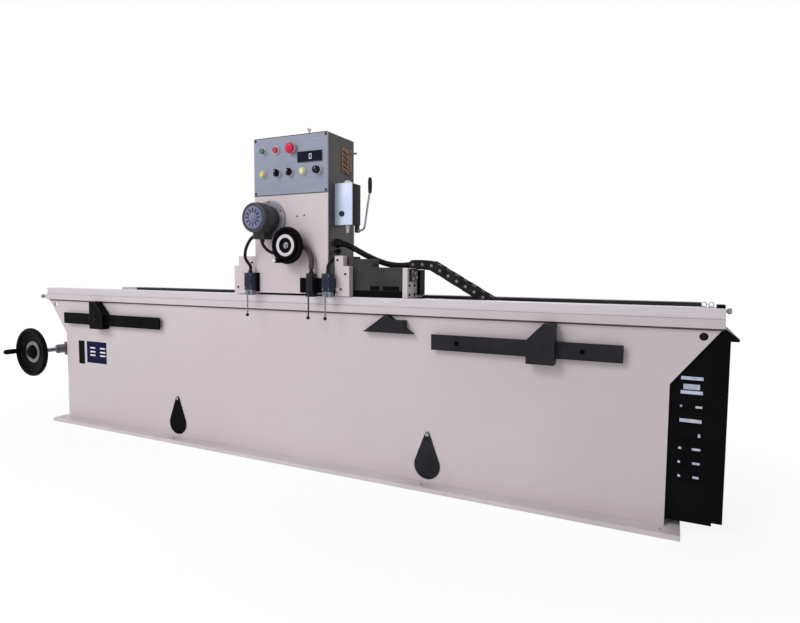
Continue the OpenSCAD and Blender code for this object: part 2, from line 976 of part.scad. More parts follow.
module dog_bar(x0, length) {
    difference() {
        block([x0, bar_front, bar_z - bar_h / 2], [x0 + length, bar_back, bar_z + bar_h / 2]);
        for (share = bar_screw_shares) bar_screw(x0 + share * length, bar_screw_r);
    }
}

module dog_bars() {
    color(black) {
        dog_bar(left_bar_x0, left_bar_len);
        dog_bar(right_bar_x0, right_bar_len);
        slab_y(front_y - cam_t, front_y) translate([cam_x - cam_len / 2, strip_bottom - cam_h]) union() {
            polygon([[0, 0], [cam_len, 0], [cam_apex_share * cam_len, cam_h]]);
            translate([cam_block_shares[0] * cam_len, 0])
                square([(cam_block_shares[1] - cam_block_shares[0]) * cam_len, cam_block_shares[2] * cam_h]);
        }
    }
}

module name_plates() {
    color([0.12, 0.10, 0.28]) {
        translate([-plate_len / 2 + name_plate_inset, front_y - label_t, name_plate_z])
            cube([name_plate_w, label_t, name_plate_h]);
        translate([-plate_len / 2 + index_plate_inset, front_y - label_t, index_plate_z])
            cube([index_plate_w, label_t, index_plate_h]);
    }
}

module worm_bearing() {
    tube_len = worm_tube_y1 - worm_tube_y0;
    color(iron) difference() {
        union() {
            rod_y(-worm_x, worm_z, worm_tube_y0, worm_tube_y1, worm_tube_r);
            for (share = worm_arm_shares) {
                y = worm_tube_y0 + share * tube_len;
                block([-worm_x, y - worm_arm_t / 2, worm_z - worm_arm_h / 2],
                    [-bed_end_x, y + worm_arm_t / 2, worm_z + worm_arm_h / 2]);
            }
        }
        rod_y(-worm_x, worm_z, worm_tube_y0 - cut, worm_tube_y1 + cut, worm_shaft_r + run_fit);
    }
}

module table_brackets() {
    color(paint) for (side = [-1, 1]) difference() {
        slab_x(side * bracket_x - bracket_w / 2, side * bracket_x + bracket_w / 2) union() {
            polygon([
                [rear_y, table_z - bracket_down], [table_y, table_z - bracket_r],
                [table_y, table_z + bracket_r], [rear_y, table_z + bracket_up]
            ]);
            translate([table_y, table_z]) circle(r = bracket_r);
        }
        rod_x(table_y, table_z, side * bracket_x - bracket_w, side * bracket_x + bracket_w,
            trunnion_r + run_fit);
    }
}

// Drag chain: flat start, fall into the tray, run, half-turn and return along the tray

link_fall = link_top_z - link_run_z;
link_slope = atan2(link_fall, link_drop_len);
link_slope_len = norm([link_drop_len, link_fall]);
link_deck_len = chain_x1 - chain_x0;
link_bend_x = chain_x1 + link_drop_len + link_run_len;
link_stations = [
    link_deck_len, link_deck_len + link_slope_len, link_deck_len + link_slope_len + link_run_len,
    link_deck_len + link_slope_len + link_run_len + PI * link_bend_r,
    link_deck_len + link_slope_len + link_run_len + PI * link_bend_r + link_tail_len
];
link_count = floor(link_stations[4] / link_pitch);

// Place and direction at a distance along the drag chain: X, Z and the angle of fall
function link_at(s) =
    s < link_stations[0] ? [chain_x0 + s, link_top_z, 0]
    : s < link_stations[1] ? let (d = s - link_stations[0])
        [chain_x1 + d * cos(link_slope), link_top_z - d * sin(link_slope), link_slope]
    : s < link_stations[2] ? [chain_x1 + link_drop_len + s - link_stations[1], link_run_z, 0]
    : s < link_stations[3] ? let (a = (s - link_stations[2]) / link_bend_r * 180 / PI)
        [link_bend_x + link_bend_r * sin(a), link_run_z - link_bend_r + link_bend_r * cos(a), a]
    : [link_bend_x - (s - link_stations[3]), link_low_z, 180];

function link_ring(s, w, h) = let (p = link_at(s), up = [sin(p[2]), 0, cos(p[2])], c = [p[0], lane_y, p[1]])
    [for (q = [[-1, -1], [1, -1], [1, 1], [-1, 1]]) c + [0, q[0] * w / 2, 0] + q[1] * h / 2 * up];

module drag_chain() {
    gap = link_gap_share * link_pitch;
    w = link_neck_share * link_w;
    h = link_neck_share * link_h;
    color(black) skin([for (i = [0 : link_count - 1]) for (k = [0 : 3])
        k < 2 ? link_ring(i * link_pitch + k * (link_pitch - gap), link_w, link_h)
        : link_ring(i * link_pitch + (k == 2 ? link_pitch - gap : link_pitch), w, h)]);
}

// Carriage

module saddle_base() {
    color(iron) {
        block([saddle_x0, saddle_front_y, saddle_z], [saddle_x1, 0, saddle_top]);
        block([saddle_x0, 0, saddle_z], [saddle_x1 - saddle_rear_cut, saddle_back_y, saddle_top]);
        for (side = [0, 1]) mirror([0, side, 0])
            block([saddle_x0, rail_inner + slide_gap, strip_top + guide_lift],
                [saddle_x1 - side * saddle_rear_cut, rail_inner + slide_gap + guide_w, saddle_z]);
        block([carriage_x - lug_w / 2, -lug_d / 2, sprocket_z + chain_outer_r + slide_gap],
            [carriage_x + lug_w / 2, lug_d / 2, saddle_z]);
    }
}

module saddle_housing() {
    y1 = saddle_front_y + housing_d;
    step_x = housing_x0 + housing_step_share * (saddle_x1 - housing_x0);
    color(iron) {
        block([housing_x0, saddle_front_y, saddle_top], [saddle_x1, y1, saddle_top + housing_h]);
        block([housing_x0, saddle_front_y, saddle_top + housing_h],
            [step_x, y1 - housing_step_inset, saddle_top + housing_h + housing_step_h]);
    }
}

module stepped_block(x0, x1, top_x0, top_x1) {
    y0 = saddle_front_y - block_t;
    z0 = rail_top + block_lift;
    block([x0, y0, z0], [x1, saddle_front_y, rail_top + block_low_h]);
    block([top_x0, y0, z0], [top_x1, saddle_front_y, rail_top + block_high_h]);
}

module saddle_blocks() {
    right_x = col_x1 + right_block_gap;
    left_x = col_x0 - left_block_gap;
    color(paint) {
        stepped_block(right_x, right_x + right_block_w, right_x, right_x + right_block_top_w);
        stepped_block(left_x - left_block_w, left_x, left_x - left_block_top_w, left_x);
        block([saddle_x1, saddle_front_y, saddle_z],
            [saddle_x1 + end_block_w, lane_y - link_w / 2 - end_block_gap, saddle_z + end_block_h]);
        block([saddle_x1, saddle_front_y, saddle_z],
            [saddle_x1 + end_block_w, lane_y + end_block_d / 2, saddle_z + end_block_low_h]);
    }
}

module chain_bracket() {
    x = saddle_x1 + end_block_w;
    deck_z = link_top_z - link_h / 2;
    color(black) {
        block([x, lane_y - link_w / 2, saddle_z + bracket_base_h],
            [x + bracket_t, lane_y + link_w / 2, deck_z]);
        block([x + bracket_t - bracket_deck_len, lane_y - link_w / 2, deck_z - bracket_deck_t],
            [x + bracket_t, lane_y + link_w / 2, deck_z]);
    }
}

module column_front() {
    color(paint) difference() {
        block([col_x0, column_front_y, rail_top + column_gap], [col_x1, case_front_y, panel_z0]);
        rod_y(feed_x, feed_z, column_front_y - cut, case_front_y + cut, feed_shaft_r + run_fit);
        rod_y(motor_x, motor_z, column_front_y - cut, case_front_y + cut, 2 * pinion_shaft_r);
    }
}

module column_case() {
    grille_z = column_top - grille_drop;
    eye_z = column_top + eye_h - eye_r;
    eye_y = column_front_y + eye_back;
    latch_y = column_back_y - latch_inset;
    color([0.20, 0.18, 0.18]) {
        difference() {
            block([col_x0, case_front_y, saddle_top], [col_x1, column_back_y, column_top]);
            block([col_x0 + sheet_t, case_front_y - cut, saddle_top - cut],
                [col_x1 - sheet_t, column_back_y - sheet_t, column_top - sheet_t]);
            rod_y(feed_x, feed_z, column_back_y - sheet_t - cut, column_back_y + cut, feed_shaft_r + run_fit);
            for (i = [0 : grille_slots - 1])
                translate([col_x1 - sheet_t - cut, column_front_y + grille_y,
                    grille_z - i * grille_pitch - grille_slot_h])
                    cube([sheet_t + 2 * cut, grille_w, grille_slot_h]);
        }
        rod_z(eye_x, eye_y, column_top, column_top + eye_h - eye_r - eye_hole_r, eye_stem_r);
        difference() {
            rod_y(eye_x, eye_z, eye_y - eye_stem_r, eye_y + eye_stem_r, eye_r);
            rod_y(eye_x, eye_z, eye_y - eye_r, eye_y + eye_r, eye_hole_r);
        }
        rod_x(latch_y, column_top - latch_drop, col_x1, col_x1 + latch_len, latch_r);
    }
}

function panel_x(u) = col_x0 + u * column_w;
function panel_z(v) = column_top - v * panel_h;
controls = [
    [green_u_share, row_shares[0]], [red_u_share, row_shares[0]], [emergency_u_share, row_shares[0]],
    [green_u_share, row_shares[1]], [left_selector_u_share, row_shares[1]],
    [middle_selector_u_share, row_shares[1]], [pale_u_share, row_shares[1]], [knob_u_share, row_shares[1]]
];

module display_block(y0, y1, margin) {
    block([panel_x(display_u_shares[0]) + margin, y0, panel_z(display_v_shares[1]) + margin],
        [panel_x(display_u_shares[1]) - margin, y1, panel_z(display_v_shares[0]) - margin]);
}

module control_panel() {
    color([0.69, 0.71, 0.80]) difference() {
        block([col_x0, panel_face_y, panel_z0], [col_x1, case_front_y, column_top]);
        for (c = controls)
            rod_y(panel_x(c[0]), panel_z(c[1]), panel_face_y - cut, case_front_y + cut, panel_hole_r);
    }
}

module panel_trim() {
    color(steel) {
        for (c = controls) difference() {
            rod_y(panel_x(c[0]), panel_z(c[1]), panel_face_y - collar_out, panel_face_y, collar_r);
            rod_y(panel_x(c[0]), panel_z(c[1]), panel_face_y - collar_out - cut, panel_face_y + cut,
                panel_hole_r);
        }
        for (x = [col_x0 + panel_screw_inset, col_x1 - panel_screw_inset])
            for (z = [panel_z0 + panel_screw_inset, column_top - panel_screw_inset])
                rod_y(x, z, panel_face_y - panel_screw_out, panel_face_y, panel_screw_r);
        difference() {
            display_block(panel_face_y - display_out, panel_face_y, 0);
            display_block(panel_face_y - display_out - cut, panel_face_y - display_out + display_sink,
                display_rim);
        }
    }
}

module button(u, v, tint) {
    color(tint) rod_y(panel_x(u), panel_z(v), panel_face_y - button_out, panel_face_y + button_in, button_r);
}

module green_button() {
    button(green_u_share, row_shares[0], [0.15, 0.45, 0.32]);
}

module red_button() {
    button(red_u_share, row_shares[0], [0.70, 0.10, 0.16]);
}

module yellow_button() {
    button(green_u_share, row_shares[1], [0.85, 0.80, 0.35]);
}

module pale_button() {
    button(pale_u_share, row_shares[1], [0.88, 0.88, 0.62]);
}

module emergency_button() {
    x = panel_x(emergency_u_share);
    z = panel_z(row_shares[0]);
    cap_y = panel_face_y - collar_out - mushroom_gap;
    color([0.80, 0.08, 0.16]) {
        rod_y(x, z, cap_y, panel_face_y + button_in, button_r);
        rod_y(x, z, cap_y - mushroom_t, cap_y, mushroom_r);
        translate([x, cap_y - mushroom_t, z]) rotate([90, 0, 0])
            cylinder(h = mushroom_dome, r1 = mushroom_r, r2 = mushroom_r / 2);
    }
}

module selector(u) {
    x = panel_x(u);
    z = panel_z(row_shares[1]);
    y = panel_face_y - collar_out - slide_gap;
    color(black) {
        rod_y(x, z, y, panel_face_y + button_in, button_r);
        rod_y(x, z, y - selector_t, y, selector_r);
        block([x - selector_bar_w / 2, y - selector_t - selector_bar_t, z - selector_r],
            [x + selector_bar_w / 2, y - selector_t, z + selector_r]);
    }
}

module left_selector() {
    selector(left_selector_u_share);
}

module middle_selector() {
    selector(middle_selector_u_share);
}

module speed_knob() {
    x = panel_x(knob_u_share);
    z = panel_z(row_shares[1]);
    y = panel_face_y - collar_out - slide_gap;
    color(black) {
        rod_y(x, z, y, panel_face_y + button_in, button_r);
        rod_y(x, z, y - knob_t, y, knob_r);
    }
}

module feed_motor() {
    y1 = column_front_y - motor_flange_t;
    y0 = column_front_y - motor_len;
    color([0.33, 0.35, 0.34]) difference() {
        union() {
            rod_y(motor_x, motor_z, y1, column_front_y, motor_flange_r);
            rod_y(motor_x, motor_z, y0 + motor_cap_len, y1, motor_r);
            rod_y(motor_x, motor_z, y0, y0 + motor_cap_len, motor_cap_r_share * motor_r);
            block([motor_x - motor_box_w / 2, motor_box_y - motor_box_len, motor_box_z],
                [motor_x + motor_box_w / 2, motor_box_y, motor_z]);
        }
        rod_y(motor_x, motor_z, column_front_y - motor_seat - mesh_gap, column_front_y + cut,
            pinion_shaft_r + run_fit);
    }
}

module oil_pump() {
    x_mid = col_x1 + pump_w / 2;
    y_mid = pump_y + pump_d / 2;
    lug_x = col_x1 + pump_w - pump_lug_w;
    color([0.80, 0.82, 0.90]) difference() {
        union() {
            block([col_x1, pump_y, pump_z0], [col_x1 + pump_w, pump_y + pump_d, pump_z0 + pump_h]);
            rod_z(x_mid, y_mid, pump_z0 + pump_h, pump_z0 + pump_h + pump_cap_h, pump_cap_r);
            rod_z(x_mid, y_mid, pump_z0 - pump_outlet_h, pump_z0, pump_outlet_r);
            rod_y(col_x1 + pump_glass_shares[0] * pump_w, pump_z0 + pump_glass_shares[1] * pump_h,
                pump_y - pump_glass_out, pump_y, pump_glass_r);
            block([lug_x, pump_lever_y - pump_lug_d / 2, pump_z0 - pump_lug_h],
                [lug_x + pump_lug_w, pump_lever_y + pump_lug_d / 2, pump_z0]);
        }
        rod_x(pump_lever_y, pump_lever_z, lug_x - cut, lug_x + pump_lug_w + cut, pump_pin_r + run_fit);
    }
}

module oil_pump_lever() {
    x0 = col_x1 + pump_w;
    foot = [x0 + lever_step - lever_rod_r, pump_lever_y, pump_lever_z + lever_low];
    color(steel) {
        rod_x(pump_lever_y, pump_lever_z, x0 - lever_pin_in, x0 + lever_low, pump_pin_r);
        hull() {
            translate([x0 + lever_low - lever_rod_r, pump_lever_y, pump_lever_z])
                sphere(r = lever_rod_r, $fn = 24);
            translate(foot) sphere(r = lever_rod_r, $fn = 24);
        }
        hull() {
            translate(foot) sphere(r = lever_rod_r, $fn = 24);
            translate(foot + [lever_lean, 0, lever_rise]) sphere(r = lever_rod_r, $fn = 24);
        }
        translate(foot + [lever_lean, 0, lever_rise - lever_grip_r])
            cylinder(h = lever_grip_len, r = lever_grip_r);
    }
}

module switch_box(x) {
    y1 = switch_back_y - switch_seat_t;
    z1 = switch_z0 + switch_h;
    difference() {
        union() {
            block([x - switch_w / 2, switch_front_y, switch_z0], [x + switch_w / 2, y1, z1]);
            rod_z(x, switch_front_y + switch_d / 2, z1, z1 + switch_gland_h, switch_gland_r);
        }
        rod_y(x, switch_pivot_z, switch_front_y - cut, switch_front_y + lever_pin_reach + mesh_gap,
            lever_pin_r + run_fit);
    }
}

module limit_switches() {
    plate_z = rail_top + bar_plate_rise;
    color(black) {
        for (x = [switch_left_x, switch_mid_x, switch_right_x]) switch_box(x);
        block([switch_left_x - switch_w / 2, switch_back_y - switch_seat_t, plate_z],
            [switch_left_x + switch_w, switch_back_y, plate_z + bar_plate_h]);
        block([switch_right_x + switch_w / 2 - bar_plate_w, switch_back_y - switch_seat_t, plate_z],
            [switch_right_x + switch_w / 2, switch_back_y, plate_z + bar_plate_h]);
    }
}

module switch_lever(x) {
    y = switch_front_y - lever_hub_t / 2 - slide_gap;
    tip_z = switch_pivot_z - lever_len;
    color(steel) {
        rod_y(x, switch_pivot_z, switch_front_y - slide_gap, switch_front_y + lever_pin_reach, lever_pin_r);
        rod_y(x, switch_pivot_z, y - lever_hub_t / 2, y + lever_hub_t / 2, lever_hub_r);
        rod_z(x, y, tip_z, switch_pivot_z, lever_rod_thin_r);
        translate([x, y, tip_z]) sphere(r = lever_ball_r);
    }
}

module left_switch_lever() {
    switch_lever(switch_left_x);
}

module middle_switch_lever() {
    switch_lever(switch_mid_x);
}

module right_switch_lever() {
    switch_lever(switch_right_x);
}

module trunk_conduit() {
    color(black) cable(trunk_start, [1, 0, 0], trunk_mid, trunk_end, [1, 0, 0], trunk_r, [0, 1, 0]);
}

module control_cables() {
    color(black) {
        cable(left_cable_start, [-1, 0, 0], left_cable_mid, left_cable_end, [0, 0, -1], cable_r, [0, 1, 0]);
        cable(drop_cable_start, [0, 0, -1], drop_cable_mid, drop_cable_end, [0, 0, -1], cable_r, [0, 1, 0]);
        cable(right_cable_start, [1, 0, 0], right_cable_mid, right_cable_end, [0, 0, -1], cable_r,
            [0.5, 1, 0]);
    }
}

// Head feed and grinding head

module head_post() {
    color(iron) difference() {
        union() {
            block([post_x0, post_y, saddle_top], [post_x1, post_y + post_back_t, post_top]);
            for (x = [post_x0, post_x1 - post_wall])
                block([x, post_y, saddle_top], [x + post_wall, post_rear_y, post_top]);
            block([post_x0, post_y, post_top - post_cap_t], [post_x1, post_rear_y, post_top]);
            block([post_x0, post_y, shelf_z], [post_x1, post_rear_y - post_wall, shelf_z + post_shelf_t]);
        }
        rod_y(feed_x, feed_z, post_y - cut, post_y + post_back_t + cut, feed_shaft_r + run_fit);
        rod_z(feed_x, screw_y, shelf_z - cut, post_top + cut, feed_screw_r + run_fit);
    }
}

module head_slide() {
    color(paint) difference() {
        union() {
            block([post_x0 - lip_w, slide_y, slide_z0],
                [post_x1 + lip_w, slide_y + slide_t, slide_z0 + slide_h]);
            block([post_x0 - lip_w, post_rear_y - lip_d, slide_z0],
                [post_x0 - slide_gap, slide_y, slide_z0 + slide_h]);
            block([post_x1 + slide_gap, post_rear_y - lip_d, slide_z0],
                [post_x1 + lip_w, slide_y, slide_z0 + slide_h]);
            block([feed_x - nut_half, screw_y - nut_half, nut_z0],
                [feed_x + nut_half, slide_y, nut_z0 + nut_h]);
            block([head_x - arm_w / 2, slide_y + slide_t, arm_z0],
                [head_x + arm_w / 2, arm_end_y, arm_z0 + arm_h]);
        }
        rod_z(feed_x, screw_y, nut_z0 - cut, nut_z0 + nut_h + cut, feed_screw_r + run_fit);
    }
}

module grinding_motor() {
    z1 = spindle_motor_z + spindle_motor_h;
    color([0.30, 0.33, 0.33]) difference() {
        union() {
            rod_z(head_x, head_y, nose_z, spindle_motor_z, nose_r);
            rod_z(head_x, head_y, spindle_motor_z, z1, spindle_motor_r);
            rod_z(head_x, head_y, z1, z1 + motor_cap_h, spindle_motor_r - motor_cap_shrink);
            block([head_x - pad_w / 2, arm_end_y, arm_z0], [head_x + pad_w / 2, head_y, arm_z0 + arm_h]);
            block([head_x - terminal_w / 2, head_y, arm_z0 + arm_h - terminal_h],
                [head_x + terminal_w / 2, head_y + spindle_motor_r + terminal_d, arm_z0 + arm_h]);
        }
        rod_z(head_x, head_y, nose_z - cut, nose_z + spindle_seat + mesh_gap, spindle_r + run_fit);
    }
}

module wheel_guard() {
    z1 = nose_z;
    z0 = cup_z + hood_drop;
    open_y = head_y + hood_open_share * hood_r;
    color(paint) difference() {
        rod_z(head_x, head_y, z0, z1, hood_r);
        rod_z(head_x, head_y, z0 - cut, z1 - hood_top_t, hood_r - hood_t);
        rod_z(head_x, head_y, z0 - cut, z1 + cut, hood_bore_r);
        block([head_x - hood_r - cut, open_y, z0 - cut],
            [head_x + hood_r + cut, head_y + hood_r + cut, z1 - hood_top_t]);
    }
}

module grinding_wheel() {
    z1 = cup_z + cup_h;
    color([0.86, 0.84, 0.80]) {
        difference() {
            rod_z(head_x, head_y, cup_z, z1, cup_r);
            rod_z(head_x, head_y, cup_z - cut, z1 - cup_back, cup_r - cup_wall);
        }
        rod_z(head_x, head_y, z1, z1 + hub_t, hub_r / 2);
        rod_z(head_x, head_y, z1, nose_z + spindle_seat, spindle_r);
        rod_z(head_x, head_y, z1 - cup_back - hub_t, z1 - cup_back, hub_r);
    }
}

module feed_handwheel() {
    y1 = column_front_y - feed_wheel_stand;
    y0 = y1 - feed_wheel_t;
    y_mid = (y0 + y1) / 2;
    grip_r = feed_wheel_r - feed_handle_inset;
    color(black) {
        translate([feed_x, y_mid, feed_z]) rotate([-90, 0, 0]) difference() {
            union() {
                rotate_extrude() translate([feed_wheel_r - feed_rim_w / 2, 0])
                    circle(r = feed_rim_w / 2, $fn = 32);
                cylinder(h = feed_web_t, r = feed_wheel_r - feed_rim_w / 2, center = true);
                cylinder(h = feed_wheel_t, r = feed_hub_r, center = true);
            }
            cylinder(h = 2 * feed_wheel_t, r = feed_shaft_r, center = true);
        }
        rod_y(feed_x + grip_r * cos(feed_handle_turn), feed_z + grip_r * sin(feed_handle_turn),
            y_mid - feed_handle_len, y_mid, feed_handle_r);
    }
}

module feed_shaft() {
    y0 = column_front_y - feed_wheel_stand - feed_wheel_t;
    gear_y = case_front_y + gear_y_gap;
    bevel_y = screw_y - bevel_r;
    color(steel) {
        rod_y(feed_x, feed_z, y0, bevel_y, feed_shaft_r);
        rod_y(feed_x, feed_z, gear_y, gear_y + gear_t, gear_r);
        translate([feed_x, bevel_y, feed_z]) rotate([-90, 0, 0])
            cylinder(h = bevel_face, r1 = bevel_r, r2 = bevel_r - bevel_face);
    }
}

module feed_screw() {
    z0 = feed_z + bevel_r + mesh_gap;
    color(steel) {
        rod_z(feed_x, screw_y, z0, post_top, feed_screw_r);
        translate([feed_x, screw_y, z0 - bevel_face])
            cylinder(h = bevel_face, r1 = bevel_r - bevel_face, r2 = bevel_r);
    }
}

module motor_pinion() {
    gear_y = case_front_y + gear_y_gap;
    color(steel) {
        rod_y(motor_x, motor_z, column_front_y - motor_seat, gear_y + gear_t, pinion_shaft_r);
        rod_y(motor_x, motor_z, gear_y, gear_y + gear_t, pinion_r);
    }
}

// Knife table and its drive

module knife_table() {
    x = table_len / 2;
    color(steel) {
        difference() {
            block([-x, table_y - beam_w / 2, table_z - beam_w / 2],
                [x, table_y + beam_w / 2, table_z + beam_w / 2]);
            block([-x - cut, table_y - beam_w / 2 + beam_wall, table_z - beam_w / 2 + beam_wall],
                [x + cut, table_y + beam_w / 2 - beam_wall, table_z + beam_w / 2 - beam_wall]);
        }
        block([-x, table_y - web_w / 2, table_z + beam_w / 2], [x, table_y + web_w / 2, chuck_top - chuck_t]);
        block([-x, table_y - chuck_w / 2, chuck_top - chuck_t], [x, table_y + chuck_w / 2, chuck_top]);
    }
}

module worm_wheel() {
    difference() {
        union() {
            rod_x(table_y, table_z, -worm_x - worm_wheel_t / 2, -worm_x + worm_wheel_t / 2, worm_wheel_r);
            rod_x(table_y, table_z, -worm_x - worm_wheel_hub_t / 2, -worm_x + worm_wheel_hub_t / 2,
                worm_wheel_hub_r);
        }
        for (i = [0 : worm_wheel_holes - 1]) {
            a = i * 360 / worm_wheel_holes;
            d = worm_wheel_hole_share * worm_wheel_r;
            rod_x(table_y + d * cos(a), table_z + d * sin(a), -worm_x - worm_wheel_t, -worm_x + worm_wheel_t,
                worm_wheel_hole_r);
        }
    }
}

module table_trunnions() {
    x = table_len / 2;
    color(steel) {
        for (side = [0, 1]) mirror([side, 0, 0]) {
            rod_x(table_y, table_z, x, x + trunnion_flange_t, trunnion_flange_r);
            rod_x(table_y, table_z, x, bracket_x + bracket_w / 2 + trunnion_tail, trunnion_r);
        }
        rod_x(table_y, table_z, -worm_x - worm_wheel_hub_t / 2, -x, trunnion_r);
        worm_wheel();
    }
}

module table_handwheel() {
    grip_r = table_wheel_r - table_handle_inset;
    color(black) {
        translate([-worm_x, table_wheel_y, worm_z]) rotate([-90, 0, 0]) difference() {
            union() {
                rotate_extrude() translate([table_wheel_r - table_rim_w / 2, 0])
                    circle(r = table_rim_w / 2, $fn = 32);
                cylinder(h = table_web_t, r = table_wheel_r - table_rim_w / 2, center = true);
                cylinder(h = table_hub_len, r = table_hub_r, center = true);
            }
            cylinder(h = 2 * table_hub_len, r = worm_shaft_r, center = true);
        }
        rod_y(-worm_x - grip_r, worm_z, table_wheel_y - table_handle_len, table_wheel_y, table_handle_r);
    }
}

module worm_shaft() {
    y0 = table_wheel_y - table_hub_len / 2;
    color(steel) {
        rod_y(-worm_x, worm_z, y0, table_y + worm_len / 2 + worm_tail, worm_shaft_r);
        rod_y(-worm_x, worm_z, table_y - worm_len / 2, table_y + worm_len / 2, worm_r);
    }
}

// Front pieces that move by hand

function arc(c, r, from, to, steps) = [for (i = [0 : steps]) let (a = from + (to - from) * i / steps)
    c + r * [cos(a), sin(a)]];

module access_cover(x) {
    a = asin((cover_r - cover_tip_r) / cover_len);
    y1 = front_y - slide_gap;
    color(black) difference() {
        translate([x, 0, cover_pivot_z]) slab_y(y1 - cover_t, y1) polygon(concat(
            arc([0, 0], cover_tip_r, a, 180 - a, cover_tip_steps),
            arc([0, -cover_len], cover_r, 180 - a, 360 + a, cover_round_steps)
        ));
        rod_y(x, cover_pivot_z, y1 - cover_t - cut, y1 + cut, cover_pin_r + run_fit);
    }
}

module left_access_cover() {
    access_cover(-cover_x);
}

module right_access_cover() {
    access_cover(cover_x);
}

// A trip dog with its ramp facing the middle of the bed; it slides on its bar
module trip_dog(top_gap) {
    gap = bar_h / 2 + slide_gap;
    slot = bar_spacer_r + dog_slot_gap;
    top = strip_bottom - top_gap;
    bottom = top - dog_h;
    color(black) {
        difference() {
            slab_y(dog_front_y, dog_back_y) polygon([
                [-dog_w / 2, bottom], [dog_w / 2, bottom], [dog_w / 2, top],
                [dog_w / 2 - (1 - dog_ramp_x_share) * dog_w, top],
                [-dog_w / 2, bottom + dog_ramp_z_share * dog_h]
            ]);
            block([-dog_w, bar_front - slide_gap, bar_z - gap], [dog_w, bar_back + slide_gap, bar_z + gap]);
            block([-dog_w, bar_back, bar_z - slot], [dog_w, dog_back_y + cut, bar_z + slot]);
        }
        rod_y(0, bar_z, dog_front_y - dog_screw_t, dog_front_y, dog_screw_r, $fn = 6);
    }
}

module left_trip_dog() {
    translate([left_dog_x, 0, 0]) mirror([1, 0, 0]) trip_dog(left_dog_gap);
}

module right_trip_dog() {
    translate([right_dog_x, 0, 0]) trip_dog(right_dog_gap);
}

module drive_sprocket() {
    color(steel) {
        rod_y(sprocket_x, sprocket_z, -sprocket_w / 2, sprocket_w / 2, sprocket_r);
        rod_y(sprocket_x, sprocket_z, -sprocket_w, gearbox_y - slide_gap, sprocket_hub_r);
        rod_y(sprocket_x, sprocket_z, -sprocket_w, gearbox_y + gearbox_seat, sprocket_shaft_r);
    }
}

module idler_sprocket() {
    pin = yoke_gap / 2 + yoke_t;
    hub = yoke_gap / 2 - slide_gap;
    color(steel) {
        rod_y(-sprocket_x, sprocket_z, -sprocket_w / 2, sprocket_w / 2, sprocket_r);
        rod_y(-sprocket_x, sprocket_z, -hub, hub, sprocket_hub_r);
        rod_y(-sprocket_x, sprocket_z, -pin, pin, sprocket_shaft_r);
    }
}

front_plate();
rear_plate();
cross_plates();
chain_tray();
foot_flanges();
way_frame();
guide_rails();
bed_fasteners();
drive_guard();
traverse_gearmotor();
traverse_chain();
dog_bars();
name_plates();
worm_bearing();
table_brackets();
drag_chain();
saddle_base();
saddle_housing();
saddle_blocks();
chain_bracket();
column_front();
column_case();
control_panel();
panel_trim();
feed_motor();
oil_pump();
limit_switches();
trunk_conduit();
control_cables();
head_post();
head_slide();
grinding_motor();
wheel_guard();
grinding_wheel();
feed_handwheel();
feed_shaft();
feed_screw();
motor_pinion();
table_handwheel();
worm_shaft();
knife_table();
table_trunnions();
left_access_cover();
right_access_cover();
left_trip_dog();
right_trip_dog();
left_switch_lever();
middle_switch_lever();
right_switch_lever();
oil_pump_lever();
green_button();
red_button();
emergency_button();
yellow_button();
pale_button();
left_selector();
middle_selector();
speed_knob();
drive_sprocket();
idler_sprocket();
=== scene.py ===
# %% [markdown]
# # Dressing a planer knife grinder
# The real machine is a long plate bed with a travelling grinding carriage. Its sizes and joints are
# already fixed by the imported solids, so this lesson only gives them their looks. Every new piece is made
# in place, in metres, and all but the drag chain's runs ride on the body that carries them.

# %% Load the frame
import json
import math

import bpy
from mathutils import Matrix, Vector

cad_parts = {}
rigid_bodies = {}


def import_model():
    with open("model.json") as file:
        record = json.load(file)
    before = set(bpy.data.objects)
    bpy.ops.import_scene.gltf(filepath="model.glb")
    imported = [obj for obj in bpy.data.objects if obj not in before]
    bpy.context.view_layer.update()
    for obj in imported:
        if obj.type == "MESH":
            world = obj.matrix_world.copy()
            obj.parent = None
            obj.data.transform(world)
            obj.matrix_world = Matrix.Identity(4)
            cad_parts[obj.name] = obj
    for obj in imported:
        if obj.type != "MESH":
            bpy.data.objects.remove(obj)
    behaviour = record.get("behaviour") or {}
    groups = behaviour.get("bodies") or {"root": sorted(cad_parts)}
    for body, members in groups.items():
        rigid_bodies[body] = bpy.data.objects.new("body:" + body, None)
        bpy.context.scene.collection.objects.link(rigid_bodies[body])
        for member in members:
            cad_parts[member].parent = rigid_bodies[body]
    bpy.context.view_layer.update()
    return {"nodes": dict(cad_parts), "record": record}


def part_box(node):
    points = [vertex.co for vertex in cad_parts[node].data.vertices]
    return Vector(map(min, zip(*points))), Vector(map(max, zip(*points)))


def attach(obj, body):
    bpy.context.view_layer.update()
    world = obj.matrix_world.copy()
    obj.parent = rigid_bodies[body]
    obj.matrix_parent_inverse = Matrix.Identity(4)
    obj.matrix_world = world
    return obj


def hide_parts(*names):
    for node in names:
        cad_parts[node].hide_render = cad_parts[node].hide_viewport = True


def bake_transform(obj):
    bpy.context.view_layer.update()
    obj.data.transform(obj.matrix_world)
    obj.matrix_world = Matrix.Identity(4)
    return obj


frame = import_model()
nodes = frame["nodes"]
body_of = {n: b for b, members in frame["record"]["behaviour"]["bodies"].items() for n in members}
slot_of = {part["node"]: part["material_slot"] for part in frame["record"]["subparts"]}

# %% [markdown]
# ## The camera
# The photograph looks along the bed from its right end, a little above the rails. The eye point and the
# three angles were solved from the bed's long edges, so the camera is set by a matrix rather than by aiming
# it at an empty, which could not hold the slight roll.

